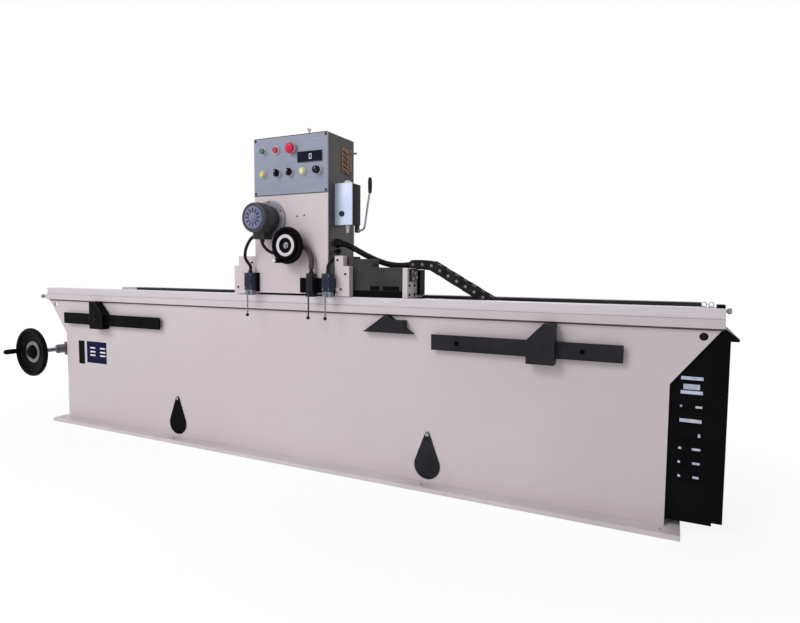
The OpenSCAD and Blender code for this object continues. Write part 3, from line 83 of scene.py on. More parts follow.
# %% Camera
EYE = Vector((1.745, -2.533, 0.969))
YAW, PITCH, ROLL = (math.radians(a) for a in (25.88, 4.01, 0.46))
forward = Vector((-math.sin(YAW) * math.cos(PITCH), math.cos(YAW) * math.cos(PITCH), -math.sin(PITCH)))
level = Vector((math.cos(YAW), math.sin(YAW), 0))
upward = level.cross(forward)
right = level * math.cos(ROLL) + upward * math.sin(ROLL)
top = upward * math.cos(ROLL) - level * math.sin(ROLL)
bpy.ops.object.select_all(action="DESELECT")
bpy.ops.object.camera_add()
camera = bpy.context.object
camera.name = "photo_camera"
camera.data.sensor_width = 36
camera.data.lens = 25.22
camera.matrix_world = Matrix.Translation(EYE) @ Matrix((right, top, -forward)).transposed().to_4x4()
bpy.context.scene.camera = camera
print("camera at", [round(c, 3) for c in EYE])

# %% [markdown]
# ## Hands for modelling
# Each piece starts as a primitive and is shaped in edit mode or by a modifier. A few small helpers repeat
# the same hand moves: leave edit mode, take a piece, apply its place to its mesh, soften its edges, turn an
# outline on an axis as on a lathe, copy and join.

# %% Taking and placing
FACING = {
    "+X": (0, math.pi / 2, 0), "-X": (0, -math.pi / 2, 0), "+Y": (-math.pi / 2, 0, 0),
    "-Y": (math.pi / 2, 0, 0), "+Z": (0, 0, 0), "-Z": (math.pi, 0, 0),
}
# Edges that turn by more than SHARP_EDGE degrees are bevelled, and edges that turn by less than the other
# three are shaded smooth on bevelled pieces, lathe work and tubes.
SHARP_EDGE, BEVEL_TURN, LATHE_TURN, TUBE_TURN = 32, 20, 38, 50


def leave():
    """Leaves edit mode with nothing selected."""
    if bpy.context.mode != "OBJECT":
        bpy.ops.object.mode_set(mode="OBJECT")
    bpy.ops.object.select_all(action="DESELECT")


def take(*pieces):
    """Selects these pieces alone, the first as the active one."""
    leave()
    for piece in pieces:
        piece.select_set(True)
    bpy.context.view_layer.objects.active = pieces[0]
    return pieces[0]


def settle(name):
    """Puts the active piece's place into its mesh, so that its object sits at the origin."""
    bpy.ops.object.transform_apply(location=True, rotation=True, scale=True)
    piece = bpy.context.object
    piece.name = piece.data.name = name
    return piece


def tilted(name, middle, size, turn=(0, 0, 0)):
    """A box of a size about its middle, turned by three angles."""
    leave()
    bpy.ops.mesh.primitive_cube_add(size=1, location=middle, rotation=turn, scale=size)
    return settle(name)


def block(name, low, high):
    """A box between two corners, the start of every squared piece."""
    low, high = Vector(low), Vector(high)
    return tilted(name, (low + high) / 2, high - low)


def hexagon(name, facing, place, radius, length):
    """A six-sided bar that starts at a place and runs the way it faces."""
    leave()
    bpy.ops.mesh.primitive_cylinder_add(vertices=6, radius=radius, depth=length)
    bpy.ops.transform.translate(value=(0, 0, length / 2))
    bpy.ops.object.transform_apply(location=True)
    bpy.context.object.rotation_euler = FACING[facing]
    bpy.context.object.location = place
    return settle(name)


def smooth(piece, degrees):
    """Smooths the shading over edges that turn by less than an angle."""
    take(piece)
    bpy.ops.object.shade_smooth_by_angle(angle=math.radians(degrees))
    return piece


def soften(piece, width, segments=2, edge_slot=-1):
    """Rounds the sharp edges with a bevel and smooths only what is nearly flat."""
    take(piece)
    bevel = piece.modifiers.new("soft_edges", "BEVEL")
    bevel.width = width
    bevel.segments = segments
    bevel.limit_method = "ANGLE"
    bevel.angle_limit = math.radians(SHARP_EDGE)
    bevel.material = edge_slot
    bpy.ops.object.modifier_apply(modifier=bevel.name)
    return smooth(piece, BEVEL_TURN)


def repeat(piece, name, shift):
    """A copy with its own mesh, moved by a shift."""
    take(piece)
    bpy.ops.object.duplicate()
    bpy.ops.transform.translate(value=shift)
    return settle(name)


def weld(name, *pieces):
    """Joins pieces of one finish into one piece."""
    piece = take(*pieces)
    if len(pieces) > 1:
        bpy.ops.object.join()
    piece.name = piece.data.name = name
    return piece


print("hands ready")

# %% Turning and face work
# Points closer than these are merged: where a spun outline closes, and between a solid's loose triangles.
SPUN_SEAM, SOLID_SEAM = 0.000005, 0.00001


def turned(name, facing, place, outline, steps):
    """Spins an outline of radius and distance pairs about an axis that starts at a place."""
    leave()
    bpy.ops.mesh.primitive_plane_add(size=0.01)
    piece = bpy.context.object
    bpy.ops.object.mode_set(mode="EDIT")
    bpy.ops.mesh.select_mode(type="VERT")
    bpy.ops.mesh.select_all(action="SELECT")
    bpy.ops.mesh.merge(type="CENTER")
    bpy.ops.transform.translate(value=(outline[0][0], 0, outline[0][1]))
    for a, b in zip(outline, outline[1:]):
        step = (b[0] - a[0], 0, b[1] - a[1])
        bpy.ops.mesh.extrude_vertices_move(TRANSFORM_OT_translate={"value": step})
    bpy.ops.mesh.select_all(action="SELECT")
    bpy.ops.mesh.spin(steps=steps, angle=2 * math.pi, center=(0, 0, 0), axis=(0, 0, 1))
    bpy.ops.mesh.select_all(action="SELECT")
    bpy.ops.mesh.remove_doubles(threshold=SPUN_SEAM)
    bpy.ops.mesh.normals_make_consistent(inside=False)
    bpy.ops.object.mode_set(mode="OBJECT")
    piece.rotation_euler = FACING[facing]
    piece.location = place
    return smooth(settle(name), LATHE_TURN)


def choose_faces(piece, test):
    """Goes into edit mode with the faces selected whose centre and normal pass a test."""
    take(piece)
    bpy.ops.object.mode_set(mode="EDIT")
    bpy.ops.mesh.select_mode(type="FACE")
    bpy.ops.mesh.select_all(action="DESELECT")
    bpy.ops.object.mode_set(mode="OBJECT")
    for face in piece.data.polygons:
        face.select = test(face.center, face.normal)
    bpy.ops.object.mode_set(mode="EDIT")


def ring_points(radius, middle, thick, count):
    """The outline of a round bar bent into a ring: its points go once round and close."""
    turns = [2 * math.pi * i / count for i in range(count + 1)]
    return [(radius + thick * math.cos(t), middle + thick * math.sin(t)) for t in turns]


def cap_screws(name, facing, places, radius, height):
    """A socket-head screw, turned once and copied to every place."""
    outline = [
        (0, 0.55 * height), (0.5 * radius, 0.55 * height), (0.5 * radius, height),
        (0.86 * radius, height), (radius, 0.86 * height), (radius, 0), (0, 0),
    ]
    first = turned(name, facing, places[0], outline, 18)
    copies = [repeat(first, name, Vector(p) - Vector(places[0])) for p in places[1:]]
    return weld(name, first, *copies)


def soft_copy(node, width, segments=2, edge_finish=None):
    """A copy of a solid with its loose triangles merged into clean faces and its edges rounded."""
    take(nodes[node])
    bpy.ops.object.duplicate()
    piece = bpy.context.object
    for key in [k for k in piece.keys() if k.startswith("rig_")]:
        del piece[key]
    bpy.ops.object.parent_clear(type="CLEAR_KEEP_TRANSFORM")
    bpy.ops.object.mode_set(mode="EDIT")
    bpy.ops.mesh.select_all(action="SELECT")
    bpy.ops.mesh.remove_doubles(threshold=SOLID_SEAM)
    bpy.ops.mesh.dissolve_limited(angle_limit=math.radians(1))
    bpy.ops.object.mode_set(mode="OBJECT")
    piece.name = piece.data.name = node + "_shown"
    piece.data.materials.clear()
    if edge_finish:
        piece.data.materials.append(edge_finish)
        piece.data.materials.append(edge_finish)
    return soften(piece, width, segments, 1 if edge_finish else -1)


def fit(piece, finish, body, slot, *stands_for):
    """Gives a piece its finish and the body it rides on, and hides the solids it stands for; its slot is not
    used.
    """
    if piece.data.materials:
        piece.data.materials[0] = finish
    else:
        piece.data.materials.append(finish)
    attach(piece, body)
    if stands_for:
        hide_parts(*stands_for)
    return piece


print("turning ready")

# %% [markdown]
# ## Finishes
# Painted sheet, cast iron, ground steel, moulded plastic and rubber all change a little over their surface.
# One builder makes them: soft clouds drift the colour between two tones, and a finer noise drives gloss
# and bump. All of it reads Object coordinates, so it stays put when a piece moves. Stretching the noise
# along one axis gives brushed or ground metal.

# %% Finish builder
COAT_ROUGHNESS = 0.12
CLOUD_DETAIL, GRAIN_DETAIL = 4, 3
DEEP_AT, PALE_AT = 0.32, 0.68
RELIEF_DEPTH = 0.0006


def tone(r, g, b):
    """A colour as a screen shows it, 0 to 255, as the light values that a shader takes."""
    def light(c):
        c /= 255
        return c / 12.92 if c <= 0.04045 else ((c + 0.055) / 1.055) ** 2.4
    return (light(r), light(g), light(b), 1.0)


def finish(name, pale, deep, gloss, metal=0.0, cloud=4.0, grain=260.0, bump=0.08, stretch=(1, 1, 1),
           coat=0.0, shine=0.5):
    """A finish that drifts between two tones, with gloss between two roughness values."""
    material = bpy.data.materials.new(name)
    material.use_nodes = True
    tree = material.node_tree
    shader = tree.nodes["Principled BSDF"]
    shader.inputs["Metallic"].default_value = metal
    shader.inputs["Specular IOR Level"].default_value = shine
    shader.inputs["Coat Weight"].default_value = coat
    shader.inputs["Coat Roughness"].default_value = COAT_ROUGHNESS
    place = tree.nodes.new("ShaderNodeTexCoord")
    mapping = tree.nodes.new("ShaderNodeMapping")
    mapping.inputs["Scale"].default_value = stretch
    tree.links.new(place.outputs["Object"], mapping.inputs["Vector"])
    clouds = tree.nodes.new("ShaderNodeTexNoise")
    clouds.inputs["Scale"].default_value = cloud
    clouds.inputs["Detail"].default_value = CLOUD_DETAIL
    tree.links.new(mapping.outputs["Vector"], clouds.inputs["Vector"])
    ramp = tree.nodes.new("ShaderNodeValToRGB")
    ramp.color_ramp.elements[0].position = DEEP_AT
    ramp.color_ramp.elements[0].color = tone(*deep)
    ramp.color_ramp.elements[1].position = PALE_AT
    ramp.color_ramp.elements[1].color = tone(*pale)
    tree.links.new(clouds.outputs["Fac"], ramp.inputs["Fac"])
    tree.links.new(ramp.outputs["Color"], shader.inputs["Base Color"])
    fine = tree.nodes.new("ShaderNodeTexNoise")
    fine.inputs["Scale"].default_value = grain
    fine.inputs["Detail"].default_value = GRAIN_DETAIL
    tree.links.new(mapping.outputs["Vector"], fine.inputs["Vector"])
    spread = tree.nodes.new("ShaderNodeMapRange")
    spread.inputs["To Min"].default_value = gloss[0]
    spread.inputs["To Max"].default_value = gloss[1]
    tree.links.new(fine.outputs["Fac"], spread.inputs["Value"])
    tree.links.new(spread.outputs["Result"], shader.inputs["Roughness"])
    relief = tree.nodes.new("ShaderNodeBump")
    relief.inputs["Strength"].default_value = bump
    relief.inputs["Distance"].default_value = RELIEF_DEPTH
    tree.links.new(fine.outputs["Fac"], relief.inputs["Height"])
    tree.links.new(relief.outputs["Normal"], shader.inputs["Normal"])
    return material


print("finish builder ready")

# %% The finishes of this machine
GROUND, BRUSHED = (1.5, 70, 70), (2, 60, 60)
cream = finish("cream_enamel", (211, 201, 205), (203, 192, 197), (0.34, 0.46), cloud=1.3, grain=190,
               bump=0.05, coat=0.1)
foot_cream = finish("foot_enamel", (214, 207, 211), (200, 192, 197), (0.4, 0.52), cloud=2.5, grain=190,
                    bump=0.08)
way_steel = finish("way_steel", (216, 208, 215), (202, 194, 202), (0.34, 0.5), metal=0.35, stretch=GROUND,
                   grain=9)
# The rear rail's near-black is painted shade, for its face in the shadow behind the front rail.
shaded_rail_steel = finish("shaded_rear_rail", (50, 50, 57), (34, 34, 40), (0.3, 0.5), metal=0.3, stretch=GROUND,
                     grain=9, shine=0.3)
bright = finish("bright_steel", (156, 158, 164), (124, 126, 133), (0.2, 0.34), metal=0.9, cloud=30, grain=500)
ground_steel = finish("ground_steel", (190, 191, 196), (162, 164, 170), (0.25, 0.42), metal=0.8,
                      stretch=GROUND, grain=8)
gloss_black = finish("gloss_black", (18, 17, 19), (10, 9, 11), (0.3, 0.45), cloud=9, grain=160, bump=0.06,
                     shine=0.025)
dull_black = finish("dull_black", (46, 44, 49), (33, 32, 36), (0.4, 0.55), cloud=9, grain=160, bump=0.06,
                    shine=0.1)
worn_black = finish("worn_edge", (52, 51, 54), (26, 25, 28), (0.36, 0.55), metal=0.2, cloud=60, grain=400,
                    shine=0.3)
cast_grey = finish("cast_grey", (60, 59, 61), (45, 45, 48), (0.42, 0.62), cloud=12, grain=420, bump=0.3,
                   shine=0.2)
case_grey = finish("case_enamel", (70, 63, 60), (52, 47, 47), (0.36, 0.5), cloud=5, grain=260, shine=0.4)
post_brown = finish("post_brown", (90, 72, 75), (70, 54, 58), (0.5, 0.7), cloud=14, grain=420, bump=0.25,
                    shine=0.2)
navy = finish("navy_plate", (22, 18, 60), (15, 12, 48), (0.3, 0.42), cloud=30, shine=0.05)
chain_black = finish("chain_nylon", (31, 30, 32), (18, 18, 20), (0.4, 0.58), cloud=25, grain=600, bump=0.15,
                     shine=0.15)
rubber = finish("cable_rubber", (30, 29, 30), (17, 17, 18), (0.48, 0.68), cloud=30, grain=700, bump=0.2,
                shine=0.15)
panel_blue = finish("panel_silver", (146, 152, 171), (137, 142, 162), (0.36, 0.5), metal=0.2,
                    stretch=BRUSHED, grain=10)
motor_grey = finish("motor_enamel", (68, 70, 74), (51, 54, 58), (0.36, 0.52), cloud=14, grain=380, bump=0.2,
                    shine=0.25)
motor_blue = finish("motor_cowl", (124, 128, 154), (92, 96, 124), (0.34, 0.5), cloud=34, grain=380, shine=0.4)
flange_grey = finish("motor_flange", (178, 175, 184), (146, 143, 153), (0.34, 0.48), cloud=24, grain=380,
                     shine=0.3)
pump_silver = finish("pump_silver", (221, 231, 255), (206, 215, 244), (0.3, 0.44), metal=0.15, cloud=16,
                     grain=420)
blue_black = finish("switch_case", (42, 47, 70), (27, 30, 48), (0.3, 0.46), cloud=22, grain=420, shine=0.2)
steel_blue = finish("switch_head", (140, 150, 172), (108, 117, 140), (0.28, 0.44), metal=0.5, cloud=40,
                    grain=420)
white_nylon = finish("white_nylon", (240, 240, 242), (224, 225, 229), (0.36, 0.5), cloud=30, grain=420)
black_plastic = finish("black_plastic", (30, 30, 37), (18, 18, 23), (0.3, 0.45), cloud=30, grain=500,
                       shine=0.2)
green = finish("green_plastic", (52, 112, 96), (36, 90, 76), (0.25, 0.38), cloud=40, grain=500, coat=0.2)
red = finish("red_plastic", (196, 44, 78), (172, 30, 62), (0.25, 0.38), cloud=40, grain=500, coat=0.2)
stop_red = finish("stop_red", (218, 22, 82), (200, 14, 68), (0.22, 0.34), cloud=40, grain=500, coat=0.08,
                  shine=0.3)
yellow = finish("yellow_plastic", (212, 205, 122), (194, 186, 102), (0.25, 0.38), cloud=40, grain=500,
                coat=0.2)
pale = finish("pale_plastic", (226, 226, 170), (212, 210, 150), (0.25, 0.38), cloud=40, grain=500, coat=0.2)
smoked = finish("display_glass", (19, 20, 44), (12, 13, 31), (0.06, 0.12), cloud=20, bump=0.0, shine=0.1)
# The louvers' pale strips are painted highlights for light glinting off the pressed louvers.
louver_highlight = finish("louver_painted_highlight", (198, 205, 222), (150, 159, 182), (0.25, 0.42), metal=0.2, cloud=34, grain=300)
# The vent's darker brown is painted shade inside its slots.
vent_slot_shade = finish("vent_slot_shade", (70, 45, 25), (48, 30, 16), (0.4, 0.6), cloud=40, grain=420, shine=0.2)
vent_tan = finish("vent_tan", (138, 103, 72), (108, 77, 51), (0.4, 0.58), metal=0.1, cloud=30, grain=420)
abrasive = finish("abrasive_grain", (230, 224, 214), (204, 196, 184), (0.8, 0.95), cloud=60, grain=1100,
                  bump=0.9)
cast_ring = finish("ring_grey", (128, 129, 134), (106, 107, 113), (0.34, 0.5), metal=0.3, cloud=30, grain=420)
resin = finish("pole_resin", (84, 72, 56), (62, 52, 40), (0.45, 0.6), cloud=40, grain=500)
# The seam strip's dark finish is painted shade for the shadow line under the way frame's lip.
shade_strip_finish = finish("painted_shade_strip", (104, 88, 92), (82, 67, 71), (0.6, 0.8), cloud=12)
print("finishes", len(bpy.data.materials))

# %% [markdown]
# ## Cables
# A ribbed conduit carries the wires from the column to the drag chain, and three thinner cables join the
# feed motor and the column to the limit switches. Each is a real length of something flexible, so its
# route is a smooth curve through points that leave the housing straight. A plain cable is a bevelled
# curve; the conduit's ribs come from the radius of each curve point, and it is then made a mesh.

# %% Routes


def route(points, steps):
    """A smooth curve through the points, given in millimetres, as points in metres."""
    p = [Vector(q) / 1000 for q in points]
    p = [p[0]] + p + [p[-1]]
    line = []
    for a, b, c, d in zip(p, p[1:], p[2:], p[3:]):
        for i in range(steps):
            t = i / steps
            line.append(0.5 * (2 * b + (c - a) * t + (2 * a - 5 * b + 4 * c - d) * t * t
                               + (3 * b - a - 3 * c + d) * t ** 3))
    return line + [p[-2]]


def run_of(line):
    """The length of a line of points."""
    return sum((b - a).length for a, b in zip(line, line[1:]))


def cable_curve(name, line, radius, swell=None):
    """An open curve along a line, with a round section."""
    data = bpy.data.curves.new(name, "CURVE")
    data.dimensions = "3D"
    data.bevel_depth = radius
    data.bevel_resolution = 4
    data.use_fill_caps = True
    spline = data.splines.new("POLY")
    spline.points.add(len(line) - 1)
    for i, (point, place) in enumerate(zip(spline.points, line)):
        point.co = (*place, 1)
        point.radius = swell(i) if swell else 1
    spline.use_smooth = True
    piece = bpy.data.objects.new(name, data)
    bpy.context.scene.collection.objects.link(piece)
    return piece


def as_mesh(curve):
    """Makes a curve piece a mesh."""
    take(curve)
    bpy.ops.object.convert(target="MESH")
    return bpy.context.object


def gland(name, facing, place, radius, length):
    """A cable gland: a broad base, a nut and a tapered mouth."""
    outline = [
        (0, 0), (1.55 * radius, 0), (1.55 * radius, 0.3 * length), (1.35 * radius, 0.36 * length),
        (1.35 * radius, 0.6 * length), (1.12 * radius, length), (0, length),
    ]
    return turned(name, facing, place, outline, 24)


LEFT_RUN = [(-114, -332, 1140), (-134, -332, 1140), (-166, -328, 1116), (-196, -320, 1074),
            (-206, -310, 1032), (-188, -295, 994), (-188, -295, 974)]
DROP_RUN = [(-79, -332, 1125), (-79, -332, 1105), (-58, -326, 1076), (-30, -306, 1058), (20, -291, 1060),
            (68, -291, 1066), (110, -291, 1081), (142, -291, 1086), (170, -291, 1060), (184, -293, 1024),
            (184, -295, 994), (184, -295, 974)]
RIGHT_RUN = [(262, -178, 1070), (279, -184, 1068), (284, -206, 1059), (280, -236, 1037),
             (278, -270, 1013), (280, -295, 994), (280, -295, 974)]
CABLE_R, CABLE_STEPS, CABLE_GLAND = 0.0078, 5, 0.018
# The sleeve covers the middle cable from one of its points to just short of the switch.
SLEEVE_SPAN, SLEEVE_R = slice(28, -2), 0.0125
for side, facing, points, stands_for in (
        ("left", "-X", LEFT_RUN, ["control_cables"]), ("drop", "-Z", DROP_RUN, []),
        ("right", "+X", RIGHT_RUN, [])):
    line = route(points, CABLE_STEPS)
    cable = cable_curve(side + "_switch_cable", line, CABLE_R)
    mouth = gland(side + "_cable_gland", facing, line[0], CABLE_R, CABLE_GLAND)
    ends = [fit(mouth, black_plastic, "carriage", "black_plastic")]
    if side == "drop":
        sleeve = as_mesh(cable_curve("drop_cable_sleeve", line[SLEEVE_SPAN], SLEEVE_R))
        ends.append(fit(sleeve, post_brown, "carriage", "black_rubber"))
    fit(cable, rubber, "carriage", "black_rubber", *stands_for)
    print(side, "cable", round(run_of(line), 3), "m")

# %% Conduit
TRUNK_RUN = [(262, -185, 1108), (282, -185, 1108), (315, -182, 1099), (350, -173, 1082), (400, -150, 1052),
             (450, -124, 1026), (500, -102, 1008), (560, -94, 1001), (620, -90, 1005), (640, -90, 1005)]
TRUNK_R, TRUNK_STEPS, TRUNK_GLAND = 0.0148, 40, 0.03
RIBS = [0.9, 1.0, 1.0, 0.9]
trunk_line = route(TRUNK_RUN, TRUNK_STEPS)
conduit = cable_curve("ribbed_conduit", trunk_line, TRUNK_R, lambda i: RIBS[i % len(RIBS)])
conduit = smooth(as_mesh(conduit), TUBE_TURN)
trunk_mouth = gland("conduit_gland", "+X", trunk_line[0], TRUNK_R, TRUNK_GLAND)
fit(trunk_mouth, black_plastic, "carriage", "black_plastic")
fit(conduit, rubber, "carriage", "black_rubber", "trunk_conduit")
print("conduit", round(run_of(trunk_line), 3), "m")

# %% [markdown]
# ## Light and floor
# The picture is lit by broad soft light from the front left, and everything round the machine is white.
# The world is plain white to the eye and in reflections, and a gentler white as light. A soft sun gives
# the faces their direction, a large panel lamp at the front left lets the bed fall off a little to the
# right, and a weak second sun opens up the back. The floor looks almost white to the eye and in
# reflections, but as light it is only a pale matt floor, and it keeps a faint shadow near the machine.

# %% World


def seen_rays(tree):
    """One for rays from the eye, in reflections and through glass, and zero for light."""
    rays = tree.nodes.new("ShaderNodeLightPath")
    first_sum = tree.nodes.new("ShaderNodeMath")
    second_sum = tree.nodes.new("ShaderNodeMath")
    second_sum.use_clamp = True
    tree.links.new(rays.outputs["Is Camera Ray"], first_sum.inputs[0])
    tree.links.new(rays.outputs["Is Glossy Ray"], first_sum.inputs[1])
    tree.links.new(first_sum.outputs[0], second_sum.inputs[0])
    tree.links.new(rays.outputs["Is Transmission Ray"], second_sum.inputs[1])
    return second_sum.outputs[0]


WHITE = (1, 1, 1, 1)
world = bpy.data.worlds.new("white_room")
bpy.context.scene.world = world
world.use_nodes = True
tree = world.node_tree
ambient = tree.nodes["Background"]
ambient.inputs["Color"].default_value = WHITE
ambient.inputs["Strength"].default_value = 0.36
seen = tree.nodes.new("ShaderNodeBackground")
seen.inputs["Color"].default_value = WHITE
seen.inputs["Strength"].default_value = 1.0
choice = tree.nodes.new("ShaderNodeMixShader")
tree.links.new(seen_rays(tree), choice.inputs["Fac"])
tree.links.new(ambient.outputs[0], choice.inputs[1])
tree.links.new(seen.outputs[0], choice.inputs[2])
tree.links.new(choice.outputs[0], tree.nodes["World Output"].inputs["Surface"])
print("world", world.name)

# %% Lamps


def broad_sun(name, lean, swing, energy, spread):
    """A sun lamp that leans and swings by two angles, with shadows as soft as its spread."""
    leave()
    bpy.ops.object.light_add(type="SUN", rotation=(math.radians(lean), 0, math.radians(swing)))
    lamp = bpy.context.object
    lamp.name = name
    lamp.data.energy = energy
    lamp.data.angle = math.radians(spread)
    return lamp


sun = broad_sun("soft_sun", 52, -28, 0.66, 20)
back_sun = broad_sun("back_sun", -50, 30, 0.5, 40)
LAMP_AT, LAMP_AIM = Vector((-0.8, -3.0, 2.2)), Vector((-0.2, 0, 0.6))
leave()
bpy.ops.object.light_add(type="AREA", location=LAMP_AT)
panel_lamp = bpy.context.object
panel_lamp.name = "panel_lamp"
panel_lamp.data.shape = "SQUARE"
panel_lamp.data.size = 2.4
panel_lamp.data.energy = 40
panel_lamp.rotation_euler = (LAMP_AIM - LAMP_AT).to_track_quat("-Z", "Y").to_euler()
panel_lamp.visible_camera = False
panel_lamp.visible_glossy = False
print("lamps", sun.name, back_sun.name, panel_lamp.name)

# %% Floor
FLOOR_R, FLOOR_DROP = 14, 0.001
# The oval round the machine that keeps its shadow reaches this far along and across the bed.
SHADE_X, SHADE_Y = 4.2, 2.6
leave()
bpy.ops.mesh.primitive_circle_add(vertices=64, radius=FLOOR_R, fill_type="NGON", location=(0, 0, -FLOOR_DROP))
floor = settle("floor")
floor_white = bpy.data.materials.new("floor_white")
floor_white.use_nodes = True
tree = floor_white.node_tree
matt = tree.nodes["Principled BSDF"]
matt.inputs["Base Color"].default_value = (0.93, 0.93, 0.93, 1)
matt.inputs["Roughness"].default_value = 0.9
glow = tree.nodes.new("ShaderNodeEmission")
glow.inputs["Strength"].default_value = 1.04
place = tree.nodes.new("ShaderNodeTexCoord")
mapping = tree.nodes.new("ShaderNodeMapping")
mapping.inputs["Scale"].default_value = (1 / SHADE_X, 1 / SHADE_Y, 0)
far = tree.nodes.new("ShaderNodeVectorMath")
far.operation = "LENGTH"
fade = tree.nodes.new("ShaderNodeMapRange")
fade.interpolation_type = "SMOOTHSTEP"
fade.inputs["From Min"].default_value = 0.35
fade.inputs["From Max"].default_value = 1.0
fade.inputs["To Min"].default_value = 0.84
shown = tree.nodes.new("ShaderNodeMath")
shown.operation = "MULTIPLY"
mix = tree.nodes.new("ShaderNodeMixShader")
tree.links.new(place.outputs["Object"], mapping.inputs["Vector"])
tree.links.new(mapping.outputs["Vector"], far.inputs[0])
tree.links.new(far.outputs["Value"], fade.inputs["Value"])
tree.links.new(fade.outputs["Result"], shown.inputs[0])
tree.links.new(seen_rays(tree), shown.inputs[1])
tree.links.new(shown.outputs[0], mix.inputs["Fac"])
tree.links.new(matt.outputs[0], mix.inputs[1])
tree.links.new(glow.outputs[0], mix.inputs[2])
tree.links.new(mix.outputs[0], tree.nodes["Material Output"].inputs["Surface"])
floor.data.materials.append(floor_white)
bpy.context.scene.view_settings.view_transform = "Standard"
print("floor set")

# %% [markdown]
# ## Finishes on the solids
# Many solids already have the right shape: the plates of the bed, shafts, brackets and the table. They
# keep their meshes and only take a finish, chosen by the slot that the record gives them.

# %% Dress the solids by slot
by_slot = {
    "paint": cream, "bright_steel": bright, "black_paint": gloss_black, "dark_iron": cast_grey,
    "label": navy, "black_plastic": black_plastic, "black_rubber": rubber, "dark_case": case_grey,
    "panel_silver": panel_blue, "motor_grey": motor_grey, "pump_silver": pump_silver, "abrasive": abrasive,
    "green_plastic": green, "red_plastic": red, "yellow_plastic": yellow, "pale_plastic": pale,
}
for name, solid in nodes.items():
    solid.data.materials.clear()
    solid.data.materials.append(by_slot[slot_of[name]])
print("dressed", len(nodes), "solids")

# %% [markdown]
# ## The bed
# Sheet, plate and bar never have knife-sharp edges, and it is the thin bright line along an edge that
# makes steel look solid. The solids with long visible edges are copied, cleaned into whole faces and
# bevelled. Black bars get their bevels in a worn finish, as paint rubs off there first.

# %% Plates and ways with soft edges


def stand_in(piece, look, node):
    """Fits a piece in the place of a solid, on its body."""
    return fit(piece, look, body_of[node], slot_of[node], node)


EDGES = {
    "front_plate": 0.002, "rear_plate": 0.002, "way_frame": 0.002, "saddle_blocks": 0.0025,
    "column_front": 0.0015, "saddle_housing": 0.004, "chain_bracket": 0.0015, "drive_guard": 0.0012,
    "table_brackets": 0.003, "head_slide": 0.004, "head_post": 0.004, "wheel_guard": 0.002,
}
for name, width in EDGES.items():
    stand_in(soft_copy(name, width), by_slot[slot_of[name]], name)
for name, width, look in (("foot_flanges", 0.0025, foot_cream), ("knife_table", 0.002, ground_steel),
                          ("worm_bearing", 0.002, cast_ring), ("saddle_base", 0.002, gloss_black)):
    stand_in(soft_copy(name, width), look, name)
WORN_EDGE = 0.0016
# The right dog and cover take a lighter, duller black than the left ones.
for name in ("left_trip_dog", "right_trip_dog", "left_access_cover", "right_access_cover"):
    piece = soft_copy(name, WORN_EDGE, 2, worn_black)
    stand_in(piece, gloss_black if "left" in name else dull_black, name)
print("soft edges done")

# %% [markdown]
# The front rail is ground satin steel. The rear one is dark steel painted near black, as painted shade for
# its face in the shadow behind the front rail. Both are in one solid, so the copy is split: the rear rail's
# faces are selected by their place and separated. The two dog bars are split in the same way, and the right
# one takes a lighter, duller black than the left.

# %% Rails and dog bars


def split_off(piece, name, test):
    """Separates the faces that pass a test into a piece of their own."""
    choose_faces(piece, test)
    bpy.ops.mesh.separate(type="SELECTED")
    bpy.ops.object.mode_set(mode="OBJECT")
    other = [o for o in bpy.context.selected_objects if o != piece][0]
    other.name = other.data.name = name
    return other


left_bar = soft_copy("dog_bars", WORN_EDGE, 2, worn_black)
right_bar = split_off(left_bar, "right_dog_bar_shown", lambda centre, normal: centre.x > 0)
left_bar.name = left_bar.data.name = "left_dog_bar_shown"
stand_in(left_bar, gloss_black, "dog_bars")
# The right dog bar takes a lighter, duller black than the left one.
fit(right_bar, dull_black, "bed", "black_paint")
rails = soft_copy("guide_rails", 0.0015)
rear_rail = split_off(rails, "rear_rail_shown", lambda centre, normal: centre.y > 0)
rails.name = rails.data.name = "front_rail_shown"
stand_in(rails, way_steel, "guide_rails")
fit(rear_rail, shaded_rail_steel, "bed", "bright_steel")
plate_low, plate_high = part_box("front_plate")
# A thin dark strip along the front plate's top is painted shade: it stands for the shadow line that the way
# frame's lip casts there.
SHADE_STRIP_T, SHADE_STRIP_H = 0.0015, 0.009
shade_strip = block("painted_shade_strip", (plate_low.x, plate_low.y - SHADE_STRIP_T, plate_high.z - SHADE_STRIP_H),
             (plate_high.x, plate_low.y, plate_high.z))
fit(soften(shade_strip, 0.0005, 1), shade_strip_finish, "bed", "paint")

# %% [markdown]
# ## The feed motor
# A small flange motor drives the feed. The real one is a machined flange held by six screws, an enamelled
# drum, a cooler-toned fan cowl with slots in its face, and a terminal box below. Round work could be built
# from stacked cylinders, but an outline spun on the axis gives every step and rounding in one clean mesh.
# The slots are cut with a Boolean, and the cut faces take the cutter's dark finish, painted shade that
# darkens the shallow slots.

# %% Copies round an axis and cuts


def round_about(piece, name, count, axis, centre):
    """Copies a piece evenly round an axis through a centre and joins the copies."""
    copies = []
    for i in range(1, count):
        take(piece)
        bpy.ops.object.duplicate()
        bpy.ops.transform.rotate(value=2 * math.pi * i / count, orient_axis=axis, center_override=centre)
        copies.append(settle(name))
    return weld(name, piece, *copies)


def cut(piece, cutter):
    """Cuts one piece out of another; the cut faces take the cutter's finish."""
    take(piece)
    knife = piece.modifiers.new("cut", "BOOLEAN")
    knife.operation = "DIFFERENCE"
    knife.solver = "EXACT"
    knife.material_mode = "TRANSFER"
    knife.object = cutter
    bpy.ops.object.modifier_apply(modifier=knife.name)
    take(cutter)
    bpy.ops.object.delete()
    return piece


print("cutting ready")

# %% Feed motor


def middle_x(node):
    """Half-way between a solid's left and right ends."""
    low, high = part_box(node)
    return (low.x + high.x) / 2


